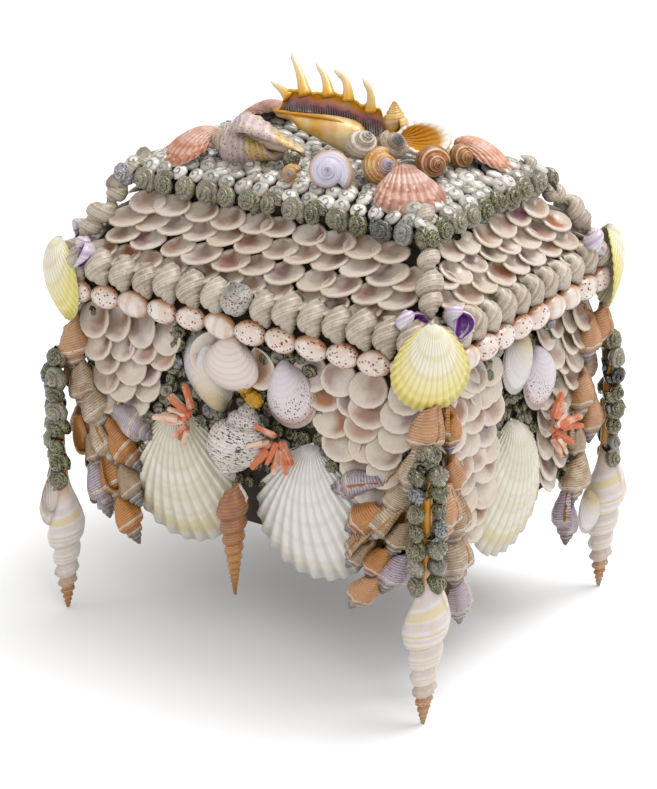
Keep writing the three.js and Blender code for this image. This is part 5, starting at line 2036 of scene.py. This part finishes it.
@dataclass
class Heap:
    """The other shells heaped on the platform."""

    knobbed: Coil = Coil(66.0, 22.0, 0.42, growth=1.7, whorls=5.0, steps=24, upper=7, lower=11, canal=0.25, waist=0.7,
                         fall=2.0, tuck=0.1, mouth=0.8,
                         relief=Together((Cords(10, 0.03), Knobs(11, 0.12, 0.3, 0.08), Knobs(22, 0.05, 0.55, 0.2))))
    moon: Coil = Coil(20.0, 16.0, 0.5, growth=1.75, whorls=3.2, steps=22, upper=8, lower=7, canal=0.3, waist=0.9, fall=3.0)
    beaded: Coil = Coil(29.0, 15.5, 0.58, growth=1.85, whorls=4.0, steps=24, upper=7, lower=8, canal=0.3, waist=0.9,
                        fall=3.0, relief=Together((Cords(7, 0.03), Ribs(22, 0.025, 0.0, 0.9))))
    yellow: Coil = Coil(52.0, 17.5, 0.4, growth=1.8, whorls=4.5, steps=20, upper=6, lower=9, canal=0.3, waist=0.65,
                        fall=2.0, mouth=0.78, mouth_depth=50.0, relief=Together((Cords(5, 0.02), Ribs(8, 0.05))))
    frill: Valve = Valve(30.0, 37.0, 11.0, columns=72, rows=10, pinch=0.15, thickness=2.4, relief=FanRibs(9, 0.018))
    spire: Coil = Coil(34.0, 9.5, 0.55, growth=1.4, whorls=6.0, steps=16, upper=5, lower=5, canal=0.3, waist=0.7,
                       relief=Ribs(10, 0.06))

    def build(self) -> None:
        """Makes each shell."""
        rows = RimRows()
        self.one("knobbed_conch", self.knobbed, Paints.knobbed, (-74, -44, 341), (-1, -0.25, 0.1), 40, 1.08, "knobbed_conch")
        self.one("moon_shell", self.moon, Paints.moon, (35, -63, 342), (0.45, -0.8, 0.4), 315, 1.1, "moon_shell")
        self.one("orange_turban", self.beaded, Paints.orange_turban, (66, -36, 345), (0.75, -0.45, 0.5), 60, 1.0,
                 "orange_turban")
        self.one("brown_turban", self.beaded, Paints.brown_turban, (86, -8, 340), (0.75, -0.5, 0.2), 0, 0.95, "brown_turban")
        self.open_shell()
        self.one("tan_turban", self.beaded, Paints.orange_turban, (8, -68, 336), (0.3, -0.9, 0.3), 30, 0.5)
        self.one("cream_snail", rows.snail, Paints.snail, (48, -32, 362), (0.55, -0.3, 0.75), 60, 1.12)
        self.one("tan_knobby", rows.knobby, Paints.stromb, (60, -14, 356), (0.6, -0.3, 0.6), 100, 0.9)
        self.one("orange_spire", self.spire, Paints.conch, (28, 28, 367), (-0.1, 0.1, 1), 100, 1.0)
        self.one("grey_snail", rows.snail, Paints.periwinkle, (-3, -44, 340), (0.6, -0.6, 0.4), 100, 0.62)
        self.one("brown_snail", rows.snail, Paints.brown_turban, (92, 22, 338), (0.8, -0.4, 0.2), 30, 0.85)

    def open_shell(self) -> None:
        """Makes the yellow shell, which shows its mouth with a white frilled lip."""
        shell = Cluster()
        shell.add(mould(self.yellow), face((74, 36, 330), (0.8, 0.5, -0.1), (0.1, 0.5, -0.8), 0.62), (0.2, 0.5, 0.5))
        shell.publish("heap_yellow_shell", Paints.yellow, ["yellow_shell"])
        frill = Cluster()
        frill.add(mould(self.frill), hang((40, 12, 349), 52, -78, 34, inside_out=True), (0.2, 0.2, 0.1))
        frill.publish("heap_yellow_shell_lip", Paints.pale_lip, ["yellow_shell"])

    def one(self, name: str, shape: Coil, finish: Finish, apex: Sequence[float], way: Sequence[float], spin: float,
            size: float, node: str = "") -> None:
        """Makes one shell of the heap.

        Args:
            name: the piece's name.
            shape: the shell.
            finish: its finish.
            apex: where its apex is.
            way: the direction that the apex points in.
            spin: degrees about that direction.
            size: the scale.
            node: the CAD node that it stands for, if it has one.
        """
        shell = Cluster()
        shell.add(mould(shape), stand(apex, way, spin, size), (0.2, 0.5, 0.5))
        shell.publish(f"heap_{name}", finish, [node] if node else ())


def main() -> None:
    """Builds the scene."""
    logging.basicConfig(level=logging.INFO, format="%(name)s %(message)s")
    Staging().build()
    for part in (Carcass(), Legs(), WallScallops(), FrontBunch(), TellinFields(), StrombClusters(), PeriwinkleStrings(),
                 RimRows(), Corners(), Platform(), SpiderConch(), Heap()):
        log.info("%s", type(part).__name__)
        part.build()


if __name__ == "__main__":
    main()
